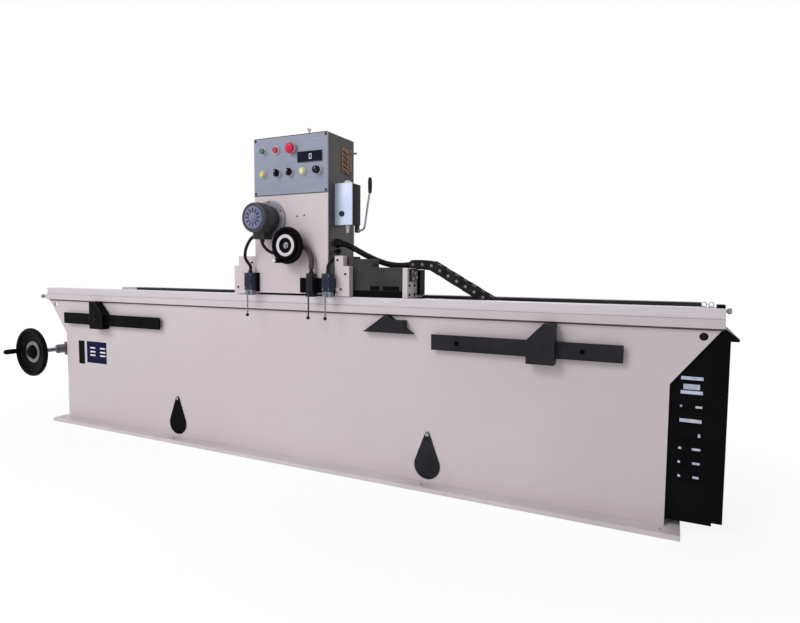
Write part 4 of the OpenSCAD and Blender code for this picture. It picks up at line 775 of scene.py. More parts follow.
FLANGE_R, SCREW_RING = 0.094, 0.0855
motor_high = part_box("feed_motor")[1]
MOTOR = Vector((middle_x("feed_motor"), motor_high.y, motor_high.z - FLANGE_R))
flange = turned("feed_motor_flange", "-Y", MOTOR, [
    (0.0095, 0), (0.092, 0), (FLANGE_R, 0.0015), (FLANGE_R, 0.0115), (0.092, 0.014), (0.079, 0.014),
    (0.077, 0.0125), (0.0095, 0.0125), (0.0095, 0)], 64)
shell = turned("feed_motor_drum", "-Y", MOTOR, [
    (0, 0.031), (0.0095, 0.031), (0.0095, 0.0125), (0.0650, 0.0125), (0.0665, 0.015), (0.0665, 0.044),
    (0.0680, 0.050), (0.0742, 0.058), (0.075, 0.062), (0.075, 0.092), (0.0738, 0.093), (0.0738, 0.095),
    (0.075, 0.096), (0.075, 0.105), (0.0728, 0.1055), (0.0728, 0.123), (0.0712, 0.1275), (0.0672, 0.1300),
    (0.0560, 0.1308), (0.0555, 0.1285), (0, 0.1285)], 64)
cowl = turned("feed_motor_cowl", "-Y", MOTOR, [
    (0, 0.126), (0.0548, 0.126), (0.0548, 0.1312), (0.0535, 0.1328), (0.048, 0.1335), (0.020, 0.1335),
    (0.018, 0.135), (0, 0.135)], 64)
cowl.data.materials.append(motor_blue)
# The cutter's black finish passes to the slot faces as painted shade inside the shallow slots.
slots = block("cowl_slots", MOTOR + Vector((-0.0028, -0.14, 0.024)),
              MOTOR + Vector((0.0028, -0.1275, 0.045)))
slots.data.materials.append(black_plastic)
cut(cowl, round_about(slots, "cowl_slots", 12, "Y", MOTOR))
box_body = soften(block("terminal_box", MOTOR + Vector((-0.035, -0.094, -0.095)),
                        MOTOR + Vector((0.035, -0.034, -0.056))), 0.004, 3)
box_lid = soften(block("terminal_lid", MOTOR + Vector((-0.0365, -0.0955, -0.101)),
                       MOTOR + Vector((0.0365, -0.0325, -0.0935))), 0.002)
sixths = [math.pi * (i + 0.5) / 3 for i in range(6)]
screw_places = [MOTOR + Vector((SCREW_RING * math.cos(a), -0.0139, SCREW_RING * math.sin(a))) for a in sixths]
screws = cap_screws("flange_screws", "-Y", screw_places, 0.0048, 0.005)
stand_in(shell, motor_grey, "feed_motor")
fit(weld("terminal_box", box_body, box_lid), cast_grey, "carriage", "motor_grey")
fit(flange, flange_grey, "carriage", "motor_grey")
fit(cowl, motor_blue, "carriage", "motor_grey")
fit(screws, bright, "carriage", "bright_steel")
print("feed motor", len(cowl.data.polygons), "faces in the cowl")

# %% [markdown]
# ## The handwheels
# Both handwheels are black castings with a round rim, a dished web and a light ring round the hub. The rim
# is a circle spun into a ring, the web and hub are one outline, and the handle is a swelling grip on a
# short neck. The feed wheel carries a silver dial and a hexagon bolt.

# %% Feed handwheel
FEED = Vector((0.068, -0.314, 1.093))
feed_rim = turned("feed_wheel_rim", "-Y", FEED, ring_points(0.079, 0.013, 0.011, 16), 64)
feed_dish = turned("feed_wheel_dish", "-Y", FEED, [
    (0, 0.002), (0.024, 0.002), (0.027, 0.006), (0.070, 0.009), (0.071, 0.016), (0.0645, 0.0175),
    (0.0625, 0.027), (0.061, 0.0285), (0.0355, 0.0285), (0.034, 0.025), (0.022, 0.0245), (0, 0.0245)], 64)
feed_dial = turned("feed_wheel_dial", "-Y", FEED, [
    (0.0365, 0.028), (0.0365, 0.0305), (0.0378, 0.0318), (0.0512, 0.0318), (0.0525, 0.0305),
    (0.0525, 0.028), (0.0365, 0.028)], 64)
washer = turned("feed_wheel_washer", "-Y", FEED, [
    (0, 0.0244), (0.0148, 0.0244), (0.0148, 0.0262), (0.0138, 0.0268), (0, 0.0268)], 32)
bolt_head = hexagon("feed_wheel_bolt", "-Y", FEED + Vector((0, -0.0268, 0)), 0.0098, 0.0072)
GRIP_TURN, GRIP_RING = math.radians(-108), 0.078
GRIP = FEED + GRIP_RING * Vector((math.cos(GRIP_TURN), 0, math.sin(GRIP_TURN)))
feed_grip = turned("feed_wheel_grip", "-Y", GRIP, [
    (0, 0.006), (0.0062, 0.006), (0.0062, 0.0225), (0.0092, 0.027), (0.0108, 0.046), (0.0108, 0.068),
    (0.0100, 0.0785), (0.0090, 0.082), (0, 0.082)], 32)
grip_end = turned("feed_grip_end", "-Y", GRIP, [
    (0, 0.0818), (0.0084, 0.0818), (0.0080, 0.0862), (0.0060, 0.0884), (0.0026, 0.0884), (0.0022, 0.087),
    (0, 0.087)], 24)
stand_in(weld("feed_wheel_casting", feed_rim, feed_dish, feed_grip), gloss_black, "feed_handwheel")
fit(feed_dial, way_steel, "feed_wheel", "bright_steel")
fit(grip_end, white_nylon, "feed_wheel", "bright_steel")
fit(weld("feed_wheel_bolt", soften(bolt_head, 0.001), washer), bright, "feed_wheel", "bright_steel")
print("feed handwheel at", [round(c, 3) for c in FEED])

# %% Table handwheel
TABLE_WHEEL = Vector((-2.0, -0.295, 0.43))
table_rim = turned("table_wheel_rim", "-Y", TABLE_WHEEL, ring_points(0.143, 0.020, 0.0148, 16), 72)
table_dish = turned("table_wheel_dish", "-Y", TABLE_WHEEL, [
    (0, 0.0), (0.030, 0.0), (0.034, 0.004), (0.128, 0.013), (0.133, 0.017), (0.132, 0.023),
    (0.124, 0.0205), (0.074, 0.0115), (0.046, 0.0115), (0.041, 0.0145), (0.036, 0.028), (0.030, 0.037),
    (0.022, 0.0415), (0, 0.042)], 72)
table_ring = turned("table_wheel_ring", "-Y", TABLE_WHEEL, [
    (0.047, 0.0112), (0.047, 0.0142), (0.0485, 0.0155), (0.0685, 0.0155), (0.070, 0.0142),
    (0.070, 0.0108), (0.047, 0.0112)], 64)
TABLE_GRIP = TABLE_WHEEL + Vector((-0.134, 0, 0))
table_grip = turned("table_wheel_grip", "-Y", TABLE_GRIP, [
    (0, 0.015), (0.010, 0.015), (0.010, 0.037), (0.0148, 0.042), (0.0165, 0.062), (0.0165, 0.090),
    (0.0150, 0.107), (0.0105, 0.1142), (0, 0.1155)], 32)
stand_in(weld("table_wheel_casting", table_rim, table_dish, table_grip), gloss_black, "table_handwheel")
fit(table_ring, cast_ring, "table_wheel", "dark_iron")
print("table handwheel at", [round(c, 3) for c in TABLE_WHEEL])

# %% [markdown]
# ## The oil pump
# A hand-pulled oil pump hangs on the column's side: a bright front plate on a black body, a white filler
# cap and outlet, a dark sight plug, and a bent chrome lever with a black grip. The lever is a thick curve
# along its bend that is then made a mesh.

# %% Oil pump
pump_low, pump_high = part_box("oil_pump")
PUMP_FACE, PUMP_FOOT, PUMP_TOP = -0.210, 1.193, 1.393
PUMP_X, PUMP_Y = middle_x("oil_pump"), -0.1675
pump_plate = soften(block("pump_front_plate", (pump_low.x, PUMP_FACE, PUMP_FOOT),
                          (pump_high.x, PUMP_FACE + 0.0065, PUMP_TOP)), 0.002, 3)
pump_body = soften(block("pump_body", (pump_low.x + 0.0005, PUMP_FACE + 0.0055, PUMP_FOOT + 0.002),
                         (pump_high.x - 0.0015, pump_high.y, PUMP_TOP - 0.002)), 0.003, 3)
pump_lug = soften(block("pump_lug", (pump_high.x - 0.014, -0.163, pump_low.z),
                        (pump_high.x, -0.137, PUMP_FOOT + 0.004)), 0.002)
pump_cap = turned("pump_filler_cap", "+Z", (PUMP_X, PUMP_Y, PUMP_TOP - 0.0005), [
    (0, 0), (0.022, 0), (0.022, 0.003), (0.0175, 0.0045), (0.0165, 0.0125), (0.0135, 0.016), (0, 0.016)], 32)
pump_outlet = turned("pump_outlet", "-Z", (PUMP_X, PUMP_Y, PUMP_FOOT + 0.0025), [
    (0, 0), (0.0125, 0), (0.0125, 0.011), (0.0085, 0.014), (0.0085, 0.026), (0.0072, 0.0275),
    (0.0072, 0.036), (0, 0.0362)], 32)
sight = turned("pump_sight_plug", "-Y", (0.3032, PUMP_FACE + 0.0002, 1.247), [
    (0, 0), (0.014, 0), (0.014, 0.003), (0.0122, 0.0068), (0.0095, 0.0080), (0.0065, 0.0080),
    (0.0055, 0.0062), (0, 0.0058)], 32)
stand_in(pump_plate, pump_silver, "oil_pump")
fit(weld("pump_body", pump_body, pump_lug), dull_black, "carriage", "black_paint")
fit(weld("pump_white_parts", pump_cap, pump_outlet), white_nylon, "carriage", "pump_silver")
fit(sight, blue_black, "carriage", "black_plastic")
print("pump", [round(c, 3) for c in pump_low])

# %% Pump lever
LEVER_RUN = [(350, -150, 1169), (368, -150, 1169), (384, -150, 1173), (393, -150, 1182),
             (397.5, -150, 1196), (401, -150, 1220), (411, -150, 1285), (424, -150, 1356)]
LEVER_R, LEVER_STEPS = 0.0048, 8
lever_rod = smooth(as_mesh(cable_curve("pump_lever_rod", route(LEVER_RUN, LEVER_STEPS), LEVER_R)), TUBE_TURN)
lever_collar = turned("pump_lever_collar", "+X", (0.3602, -0.150, 1.169), [
    (0.0046, 0), (0.0085, 0), (0.0085, 0.006), (0.0075, 0.0075), (0.0046, 0.0075), (0.0046, 0)], 24)
lever_grip = turned("pump_lever_grip", "+Z", (0.424, -0.150, 1.3455), [
    (0, 0), (0.0062, 0), (0.0082, 0.004), (0.0096, 0.022), (0.0098, 0.055), (0.0088, 0.068),
    (0.0060, 0.0748), (0, 0.0765)], 32)
stand_in(weld("pump_lever_rod", lever_rod, lever_collar), bright, "oil_pump_lever")
fit(lever_grip, black_plastic, "pump_lever", "black_plastic")
print("lever grip top", round(max(v.co.z for v in lever_grip.data.vertices), 3))

# %% [markdown]
# ## Limit switches
# Three limit switches sit low on the carriage. Each has a moulded case with a screwed cover, a bright cast
# head below, and a long arm with a roller that the dogs push aside. One of each is modelled and copied, as
# the real ones come out of one mould.

# %% Limit switch bodies


def switch_case(name, x, half):
    """A moulded case of some half width at a place along the carriage."""
    return soften(block(name, (x - half, -0.3135, 0.874), (x + half, -0.276, 0.960)), 0.003, 3)


SWITCH_X = [middle_x(side + "_switch_lever") for side in ("left", "middle", "right")]
PIVOT_Z, ROLLER_Z = 0.862, 0.748
at = SWITCH_X[0]
case = switch_case("switch_case", at, 0.026)
lid = soften(block("switch_lid", (at - 0.0215, -0.3155, 0.880), (at + 0.0215, -0.312, 0.9545)), 0.0015)
case = weld("switch_case", case, lid)
corners = [(at + dx, -0.3153, z) for dx in (-0.0165, 0.0165) for z in (0.8855, 0.949)]
lid_screws = cap_screws("switch_lid_screws", "-Y", corners, 0.0028, 0.0014)
head = soften(block("switch_head", (at - 0.022, -0.3118, 0.848), (at + 0.022, -0.278, 0.8745)), 0.003, 3)
boss = turned("switch_boss", "-Y", (at, -0.3112, PIVOT_Z), [
    (0.0046, 0), (0.0125, 0), (0.0125, 0.0018), (0.0115, 0.0026), (0.0046, 0.0026), (0.0046, 0)], 28)
head = weld("switch_head", head, boss)
neck = gland("switch_gland", "+Z", (at, -0.295, 0.9595), CABLE_R, 0.0148)
shifts = [Vector((x - at, 0, 0)) for x in SWITCH_X[1:]]
middle_case = switch_case("middle_switch_case", SWITCH_X[1], 0.018)
case = weld("switch_cases", case, repeat(case, "switch_case", shifts[1]))
middle_head = repeat(head, "middle_switch_head", shifts[0])
heads = weld("switch_heads", head, repeat(head, "switch_heads", shifts[1]))
necks = weld("switch_glands", neck, *[repeat(neck, "switch_glands", s) for s in shifts])
lid_screws = weld("switch_lid_screws", lid_screws, repeat(lid_screws, "switch_lid_screws", shifts[1]))
seats = [block("switch_seats", (x0, -0.2765, 0.866), (x1, -0.268, z1)) for x0, x1, z1 in
         ((-0.214, -0.150, 0.961), (0.104, 0.306, 0.938))]
fit(case, blue_black, "carriage", "black_plastic", "limit_switches")
fit(heads, steel_blue, "carriage", "bright_steel")
fit(weld("middle_switch_case", middle_case, middle_head), black_plastic, "carriage", "black_plastic")
fit(necks, black_plastic, "carriage", "black_plastic")
fit(lid_screws, bright, "carriage", "bright_steel")
fit(soften(weld("switch_seats", *seats), 0.0015), gloss_black, "carriage", "black_paint")
print("switches", len(SWITCH_X))

# %% Switch arms
hub = turned("switch_hub", "-Y", (at, -0.302, PIVOT_Z), [
    (0, 0), (0.0042, 0), (0.0042, 0.0125), (0.0090, 0.0125), (0.0090, 0.0195), (0.0078, 0.0212),
    (0.0042, 0.0212), (0.0036, 0.0198), (0, 0.0198)], 28)
arm = soften(block("switch_arm", (at - 0.0038, -0.3208, 0.750), (at + 0.0038, -0.3176, PIVOT_Z)), 0.0008)
roller = turned("switch_roller", "-Y", (at, -0.3178, ROLLER_Z), [
    (0, 0), (0.0078, 0), (0.0085, 0.0012), (0.0085, 0.0062), (0.0078, 0.0074), (0.0035, 0.0074),
    (0.0030, 0.0082), (0, 0.0082)], 28)
arm = weld("switch_arm", arm, hub)
for side, shift, look in zip(("middle", "right"), shifts, (worn_black, cast_ring)):
    stand_in(repeat(arm, side + "_switch_arm", shift), look, side + "_switch_lever")
    fit(repeat(roller, side + "_switch_roller", shift), black_plastic, side + "_lever", "black_plastic")
arm.name = arm.data.name = "left_switch_arm"
roller.name = roller.data.name = "left_switch_roller"
stand_in(arm, cast_ring, "left_switch_lever")
fit(roller, black_plastic, "left_lever", "black_plastic")

# %% [markdown]
# ## The control panel
# The panel is a satin plate with eight round controls and a dark display. Each control has a bright screwed
# collar. Buttons are domed caps, the stop is a mushroom, selectors have a raised bar with a white line and
# the speed knob is fluted. Every cap is a piece of its own, as it moves on its own joint.

# %% Panel collars, screws and painted shade lines
panel_low, panel_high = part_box("control_panel")
PANEL_Y = panel_low.y


def across(share):
    """A place along the panel's width, as a share from its left edge."""
    return panel_low.x + (panel_high.x - panel_low.x) * share


def down(share):
    """A height on the panel, as a share from its top edge."""
    return panel_high.z - (panel_high.z - panel_low.z) * share


def front_faces(centre, normal):
    """Picks the faces that look to the front."""
    return normal.y < -0.9


ROW_Z = (down(0.226), down(0.626))
spots = {
    "green_button": (across(0.135), ROW_Z[0]), "red_button": (across(0.32), ROW_Z[0]),
    "emergency_button": (across(0.535), ROW_Z[0]), "yellow_button": (across(0.135), ROW_Z[1]),
    "left_selector": (across(0.335), ROW_Z[1]), "middle_selector": (across(0.508), ROW_Z[1]),
    "pale_button": (across(0.682), ROW_Z[1]), "speed_knob": (across(0.875), ROW_Z[1]),
}
(first_x, first_z), *other_spots = spots.values()
collar = turned("panel_collars", "-Y", (first_x, PANEL_Y, first_z), [
    (0.0154, 0), (0.0205, 0), (0.0205, 0.0035), (0.0197, 0.0068), (0.0180, 0.0088), (0.0158, 0.0088),
    (0.0154, 0.0078), (0.0154, 0)], 36)
collars = [repeat(collar, "panel_collars", (x - first_x, 0, z - first_z)) for x, z in other_spots]
CORNER, EDGE_H = 0.010, 0.0032
corner_places = [(x, PANEL_Y, z) for x in (panel_low.x + CORNER, panel_high.x - CORNER)
                 for z in (panel_low.z + CORNER, panel_high.z - CORNER)]
corner_screws = cap_screws("panel_screws", "-Y", corner_places, 0.0064, 0.0022)
# Thin dark strips along the panel's top and bottom edges are painted shade, for the shadow lines that fall
# there.
edges = [block("panel_shade_lines_and_screws", (panel_low.x, PANEL_Y - 0.0003, z),
               (panel_high.x, PANEL_Y + 0.0025, z + EDGE_H))
         for z in (panel_low.z - 0.0025, panel_high.z - 0.0012)]
stand_in(weld("panel_collars", collar, *collars), way_steel, "panel_trim")
fit(weld("panel_shade_lines_and_screws", corner_screws, *edges), cast_grey, "carriage", "black_plastic")
print("panel face", round(PANEL_Y, 3))

# %% Display and panel plate
LEFT, RIGHT, TOP, FOOT = across(0.61), across(0.93), down(0.295), down(0.475)
RIM = 0.0033
bezel = block("display_bezel", (LEFT, PANEL_Y - 0.005, FOOT), (RIGHT, PANEL_Y, TOP))
choose_faces(bezel, front_faces)
bpy.ops.mesh.inset(thickness=0.0035, depth=-0.0022)
leave()
glass = soften(block("display_glass", (LEFT + RIM, PANEL_Y - 0.0034, FOOT + RIM),
                     (RIGHT - RIM, PANEL_Y - 0.002, TOP - RIM)), 0.0006)
DIGIT_X, DIGIT_Z = 0.165, (FOOT + TOP) / 2
HALF_W, HALF_H, STROKE = 0.0075, 0.0125, 0.003
bars = [block("display_digit", (DIGIT_X + x0, PANEL_Y - 0.0038, DIGIT_Z + z0),
              (DIGIT_X + x1, PANEL_Y - 0.0032, DIGIT_Z + z1))
        for x0, x1, z0, z1 in (
            (-HALF_W, STROKE - HALF_W, -HALF_H, HALF_H), (HALF_W - STROKE, HALF_W, -HALF_H, HALF_H),
            (STROKE - HALF_W, HALF_W - STROKE, HALF_H - STROKE, HALF_H),
            (STROKE - HALF_W, HALF_W - STROKE, -HALF_H, STROKE - HALF_H))]
stand_in(soft_copy("control_panel", 0.0008), panel_blue, "control_panel")
fit(soften(bezel, 0.0008), black_plastic, "carriage", "black_plastic")
fit(glass, smoked, "carriage", "black_plastic")
fit(weld("display_digit", *bars), white_nylon, "carriage", "pale_plastic")
print("display", len(bars), "bars")

# %% Buttons
BASE_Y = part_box("green_button")[1].y
STEM_R = 0.0149
CAP = [(0, 0), (STEM_R, 0), (STEM_R, 0.0285), (0.0136, 0.0310), (0.0090, 0.0320), (0, 0.0318)]
MUSHROOM = [(0, 0), (STEM_R, 0), (STEM_R, 0.0318), (0.0245, 0.0322), (0.0258, 0.0345), (0.0254, 0.0385),
            (0.0222, 0.0432), (0.0142, 0.0466), (0, 0.0474)]
for node, look, outline in (
        ("green_button", green, CAP), ("red_button", red, CAP), ("emergency_button", stop_red, MUSHROOM),
        ("yellow_button", yellow, CAP), ("pale_button", pale, CAP)):
    x, z = spots[node]
    stand_in(turned(node + "_cap", "-Y", (x, BASE_Y, z), outline, 40), look, node)
print("buttons from", round(BASE_Y, 3))

# %% Selectors and speed knob
STEM = [(0, 0), (STEM_R, 0), (STEM_R, 0.0235)]
GRIP_FRONT, GRIP_BACK = BASE_Y - 0.0430, BASE_Y - 0.0280
BAR_TAPER = (0.7, 1, 0.92)
for node in ("left_selector", "middle_selector"):
    x, z = spots[node]
    base = turned(node + "_grip", "-Y", (x, BASE_Y, z), STEM + [
        (0.0180, 0.0240), (0.0180, 0.0278), (0.0166, 0.0293), (0, 0.0293)], 40)
    bar = block(node + "_bar", (x - 0.0064, GRIP_FRONT, z - 0.0186), (x + 0.0064, GRIP_BACK, z + 0.0186))
    choose_faces(bar, front_faces)
    bpy.ops.transform.resize(value=BAR_TAPER)
    leave()
    mark = block(node + "_mark", (x - 0.0008, GRIP_FRONT - 0.0003, z + 0.0015),
                 (x + 0.0008, GRIP_FRONT + 0.0003, z + 0.0118))
    stand_in(weld(node + "_grip", base, soften(bar, 0.0014, 3)), black_plastic, node)
    fit(mark, white_nylon, body_of[node], "pale_plastic")
x, z = spots["speed_knob"]
knob = turned("speed_knob_grip", "-Y", (x, BASE_Y, z), STEM + [
    (0.0188, 0.0240), (0.0188, 0.0265), (0.0170, 0.0276), (0.0156, 0.0405), (0.0138, 0.0428),
    (0, 0.0432)], 40)
flute = soften(block("speed_knob_flutes", (x - 0.0018, BASE_Y - 0.0405, z + 0.0152),
                     (x + 0.0018, BASE_Y - 0.0282, z + 0.0178)), 0.0005, 1)
flutes = round_about(flute, "speed_knob_flutes", 16, "Y", (x, BASE_Y, z))
mark = block("speed_knob_mark", (x - 0.0007, BASE_Y - 0.0435, z + 0.002),
             (x + 0.0007, BASE_Y - 0.0429, z + 0.0108))
stand_in(weld("speed_knob_grip", knob, flutes), black_plastic, "speed_knob")
fit(mark, white_nylon, "knob", "pale_plastic")
print("knob at", round(x, 3), round(z, 3))

# %% [markdown]
# ## The column
# The column is a folded sheet case in dark enamel behind a pale front. Its softened copy keeps the case,
# while the lifting eye and the latch stud are split off by their place and left as bright metal. A brown
# vent sheet with slanting slots sits high on the side; the darker brown of its slots is painted shade.

# %% Column case
FRONT_Y, SIDE_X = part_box("column_front")[0].y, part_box("column_front")[1].x
sheet = soft_copy("column_case", 0.0012)
eye = split_off(sheet, "lifting_eye", lambda centre, normal: centre.z > panel_high.z + 0.0002)
latch = split_off(sheet, "latch_stud", lambda centre, normal: centre.x > SIDE_X + 0.0004)
stand_in(sheet, case_grey, "column_case")
fit(eye, way_steel, "carriage", "bright_steel")
fit(latch, bright, "carriage", "bright_steel")
screw_places = [(0.084, FRONT_Y, 1.238), (0.126, FRONT_Y, 1.241)]
front_screws = cap_screws("front_screws", "-Y", screw_places, 0.0042, 0.0016)
fit(front_screws, worn_black, "carriage", "bright_steel")
print("column side", round(SIDE_X, 3))

# %% Vent
SLOT_COUNT, SLOT_TOP, SLOT_PITCH = 5, 1.553, 0.0235
SLOT_SIZE, SLOT_LEAN = (0.0032, 0.044, 0.0105), (math.radians(-22), 0, 0)
vent = block("vent_sheet", (SIDE_X, -0.148, 1.452), (SIDE_X + 0.0022, -0.078, 1.578))
vent.data.materials.append(vent_tan)
# Each slot's cut faces take the darker brown as painted shade inside the slot.
for i in range(SLOT_COUNT):
    slot = tilted("vent_slot", (SIDE_X + 0.002, -0.115, SLOT_TOP - SLOT_PITCH * i), SLOT_SIZE, SLOT_LEAN)
    slot.data.materials.append(vent_slot_shade)
    cut(vent, slot)
strap = soften(block("vent_strap", (SIDE_X, -0.074, 1.470), (SIDE_X + 0.0028, -0.054, 1.580)), 0.001)
fit(soften(vent, 0.0005), vent_tan, "carriage", "dark_case")
fit(strap, vent_tan, "carriage", "dark_case")
print("vent", len(vent.data.polygons), "faces")

# %% [markdown]
# ## The drag chain
# The cable chain hangs from the carriage, falls behind the rail, turns back and ends on the bed. Real links
# are plates with round ends, alternately outside and inside, pinned through. One outer and one inner link
# are modelled at the origin, then copied along the chain's path and joined into three runs: the top, the
# bend and the low run.

# %% Chain links
LINK_PITCH, LINK_R = 0.048, 0.0225
OUTER_INSIDE, OUTER_SIDE = 0.0247, 0.0298
INNER_INSIDE, INNER_SIDE = 0.0195, 0.0244
PIN_HEAD = [(0.0072, 0), (0.0072, 0.0012), (0.0055, 0.0019), (0, 0.0019)]


def bean(name, length, radius, y0, y1):
    """A flat plate with round ends that lies along X from the origin."""
    leave()
    bpy.ops.mesh.primitive_circle_add(vertices=20, radius=radius, fill_type="NGON",
                                      rotation=(math.pi / 2, math.radians(9), 0), location=(0, y0, 0))
    piece = settle(name)
    bpy.ops.object.mode_set(mode="EDIT")
    bpy.ops.mesh.select_mode(type="VERT")
    bpy.ops.mesh.select_all(action="DESELECT")
    bpy.ops.object.mode_set(mode="OBJECT")
    for point in piece.data.vertices:
        point.select = point.co.x > 0
    bpy.ops.object.mode_set(mode="EDIT")
    bpy.ops.transform.translate(value=(length, 0, 0))
    bpy.ops.mesh.select_all(action="SELECT")
    bpy.ops.mesh.extrude_region_move(TRANSFORM_OT_translate={"value": (0, y1 - y0, 0)})
    bpy.ops.mesh.select_all(action="SELECT")
    bpy.ops.mesh.normals_make_consistent(inside=False)
    leave()
    return soften(piece, 0.001, 1)


def chain_link(name, inner, outer):
    """Two plates, a bar across above and below, and a pin head at each side."""
    plates = [bean(name, LINK_PITCH, LINK_R, *sorted((s * inner, s * outer))) for s in (-1, 1)]
    bars = [soften(block(name, (0.013, -inner, z - 0.003), (0.035, inner, z + 0.003)), 0.001, 1)
            for z in (-0.017, 0.017)]
    link = weld(name, *plates, *bars)
    link.data.materials.append(chain_black)
    pins = [turned(name, facing, (0, side * OUTER_SIDE, 0), PIN_HEAD, 14)
            for facing, side in (("-Y", -1), ("+Y", 1))]
    for pin in pins:
        pin.data.materials.append(cast_ring)
    return weld(name, link, *pins)


outer_link = chain_link("outer_link", OUTER_INSIDE, OUTER_SIDE)
inner_link = chain_link("inner_link", INNER_INSIDE, INNER_SIDE)
print("link faces", len(outer_link.data.polygons))

# %% Lay the links along the chain
LANE_Y, DECK_X, DECK_END, FALL_X, BEND_X, LOW_X = -0.090, 0.640, 0.725, 0.340, 1.225, 0.375
TOP_Z, RUN_Z, BEND_R, TAIL_RUN = 1.005, 0.814, 0.075, 0.85
fall = math.atan2(TOP_Z - RUN_Z, FALL_X)
fall_run = math.hypot(TOP_Z - RUN_Z, FALL_X)
stations = [DECK_END - DECK_X, fall_run, BEND_X - DECK_END - FALL_X, math.pi * BEND_R, TAIL_RUN]


def chain_point(s):
    """The place on the chain's path at a distance from its start."""
    if s < stations[0]:
        return Vector((DECK_X + s, LANE_Y, TOP_Z))
    s -= stations[0]
    if s < stations[1]:
        return Vector((DECK_END + s * math.cos(fall), LANE_Y, TOP_Z - s * math.sin(fall)))
    s -= stations[1]
    if s < stations[2]:
        return Vector((DECK_END + FALL_X + s, LANE_Y, RUN_Z))
    s -= stations[2]
    if s < stations[3]:
        a = s / BEND_R
        return Vector((BEND_X + BEND_R * math.sin(a), LANE_Y, RUN_Z - BEND_R + BEND_R * math.cos(a)))
    return Vector((BEND_X - (s - stations[3]), LANE_Y, RUN_Z - 2 * BEND_R))


runs = {"top": [], "bend": [], "low": []}
turn_at = sum(stations[:3])
for i in range(int(sum(stations) / LINK_PITCH)):
    a, b = chain_point(i * LINK_PITCH), chain_point((i + 1) * LINK_PITCH)
    take(inner_link if i % 2 else outer_link)
    bpy.ops.object.duplicate()
    link = bpy.context.object
    link.rotation_euler = (0, math.atan2(a.z - b.z, b.x - a.x), 0)
    link.location = a
    middle = (i + 0.5) * LINK_PITCH
    run = "top" if middle < turn_at else "bend" if middle < turn_at + stations[3] else "low"
    runs[run].append(settle("chain_link"))
take(outer_link, inner_link)
bpy.ops.object.delete()
chain_runs = {run: weld("drag_chain_" + run, *links) for run, links in runs.items()}
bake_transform(chain_runs["top"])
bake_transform(chain_runs["bend"])
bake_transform(chain_runs["low"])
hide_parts("drag_chain")
print({run: len(links) for run, links in runs.items()})

# %% [markdown]
# ## Plates, screws and the end guard
# The bed carries a dark blue data plate with blank white fields and a black index plate. The dog bars are
# held by dark flush screws, and the access covers hang on bright pins. The guard at the right end has
# pressed louvers with pale strips on them, which are painted highlights for the light glinting off them.

# %% Name plates
plates_low, plates_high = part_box("name_plates")
PLATE_FACE, BED_FACE = plates_low.y, plates_high.y
DATA_X0, DATA_X1, DATA_Z0, DATA_Z1 = -1.555, plates_high.x, 0.387, plates_high.z
BACKING = 0.0025
backing = soften(block("plate_backing", (DATA_X0 - BACKING, BED_FACE - 0.0008, DATA_Z0 - BACKING),
                       (DATA_X1 + BACKING, BED_FACE, DATA_Z1 + BACKING)), 0.0003, 1)
data_plate = soften(block("data_plate", (DATA_X0, PLATE_FACE, DATA_Z0),
                          (DATA_X1, BED_FACE - 0.0005, DATA_Z1)), 0.0005, 1)
index_plate = soften(block("index_plate", (plates_low.x, PLATE_FACE, plates_low.z),
                           (plates_low.x + 0.054, BED_FACE, plates_low.z + 0.146)), 0.0005, 1)
fields = []
for u0, u1 in ((0.18, 0.44), (0.68, 0.95)):
    for v0, v1 in ((0.262, 0.328), (0.44, 0.51), (0.602, 0.672)):
        x0, x1 = (DATA_X0 + (DATA_X1 - DATA_X0) * u for u in (u0, u1))
        z0, z1 = (DATA_Z1 - (DATA_Z1 - DATA_Z0) * v for v in (v1, v0))
        field = block("plate_fields", (x0, PLATE_FACE - 0.0004, z0), (x1, PLATE_FACE + 0.0002, z1))
        fields.append(soften(field, 0.0002, 1))
stand_in(data_plate, navy, "name_plates")
fit(backing, pump_silver, "bed", "label")
fit(index_plate, gloss_black, "bed", "label")
fit(weld("plate_fields", *fields), white_nylon, "bed", "label")
print("plate fields", len(fields))

# %% Bed screws and pins
bar_places = [(x, -0.2605, 0.664) for x in (-1.6004, -1.0434, 0.9182, 1.4383)]
bar_screws = cap_screws("bar_screws", "-Y", bar_places, 0.0106, 0.0092)
fit(bar_screws, gloss_black, "bed", "black_paint", "bed_fasteners")
COVER_X = middle_x("right_access_cover")
pin = turned("cover_pins", "-Y", (-COVER_X, BED_FACE + 0.0002, 0.240), [
    (0, 0), (0.0058, 0), (0.0058, 0.0051), (0.0100, 0.0051), (0.0100, 0.0082), (0.0078, 0.0101),
    (0.0030, 0.0101), (0.0026, 0.0088), (0, 0.0088)], 28)
fit(weld("cover_pins", pin, repeat(pin, "cover_pins", (2 * COVER_X, 0, 0))), bright, "bed", "bright_steel")
END_BOLT = Vector((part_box("way_frame")[0].x, BED_FACE, 0.7935))
STUD_R, STUD_RUN = 0.008, 0.055
stud = turned("end_bolt", "-X", END_BOLT, [(0, 0), (STUD_R, 0), (STUD_R, STUD_RUN), (0, STUD_RUN)], 24)
nut = soften(hexagon("end_bolt_head", "-X", END_BOLT - Vector((STUD_RUN, 0, 0)), 0.0138, 0.010), 0.0012)
fit(weld("end_bolt", stud, nut), bright, "bed", "bright_steel")
print("bar screws", len(bar_places))

# %% Guard louvers and eave
LOUVER_X, LOUVER_W, LOUVER_Y, LOUVER_TOP, LOUVER_PITCH = 1.787, 0.073, -0.2330, 0.5888, 0.0528
LOUVER_LEAN, HIGHLIGHT_T = (math.radians(-26.6), 0, 0), 0.0008
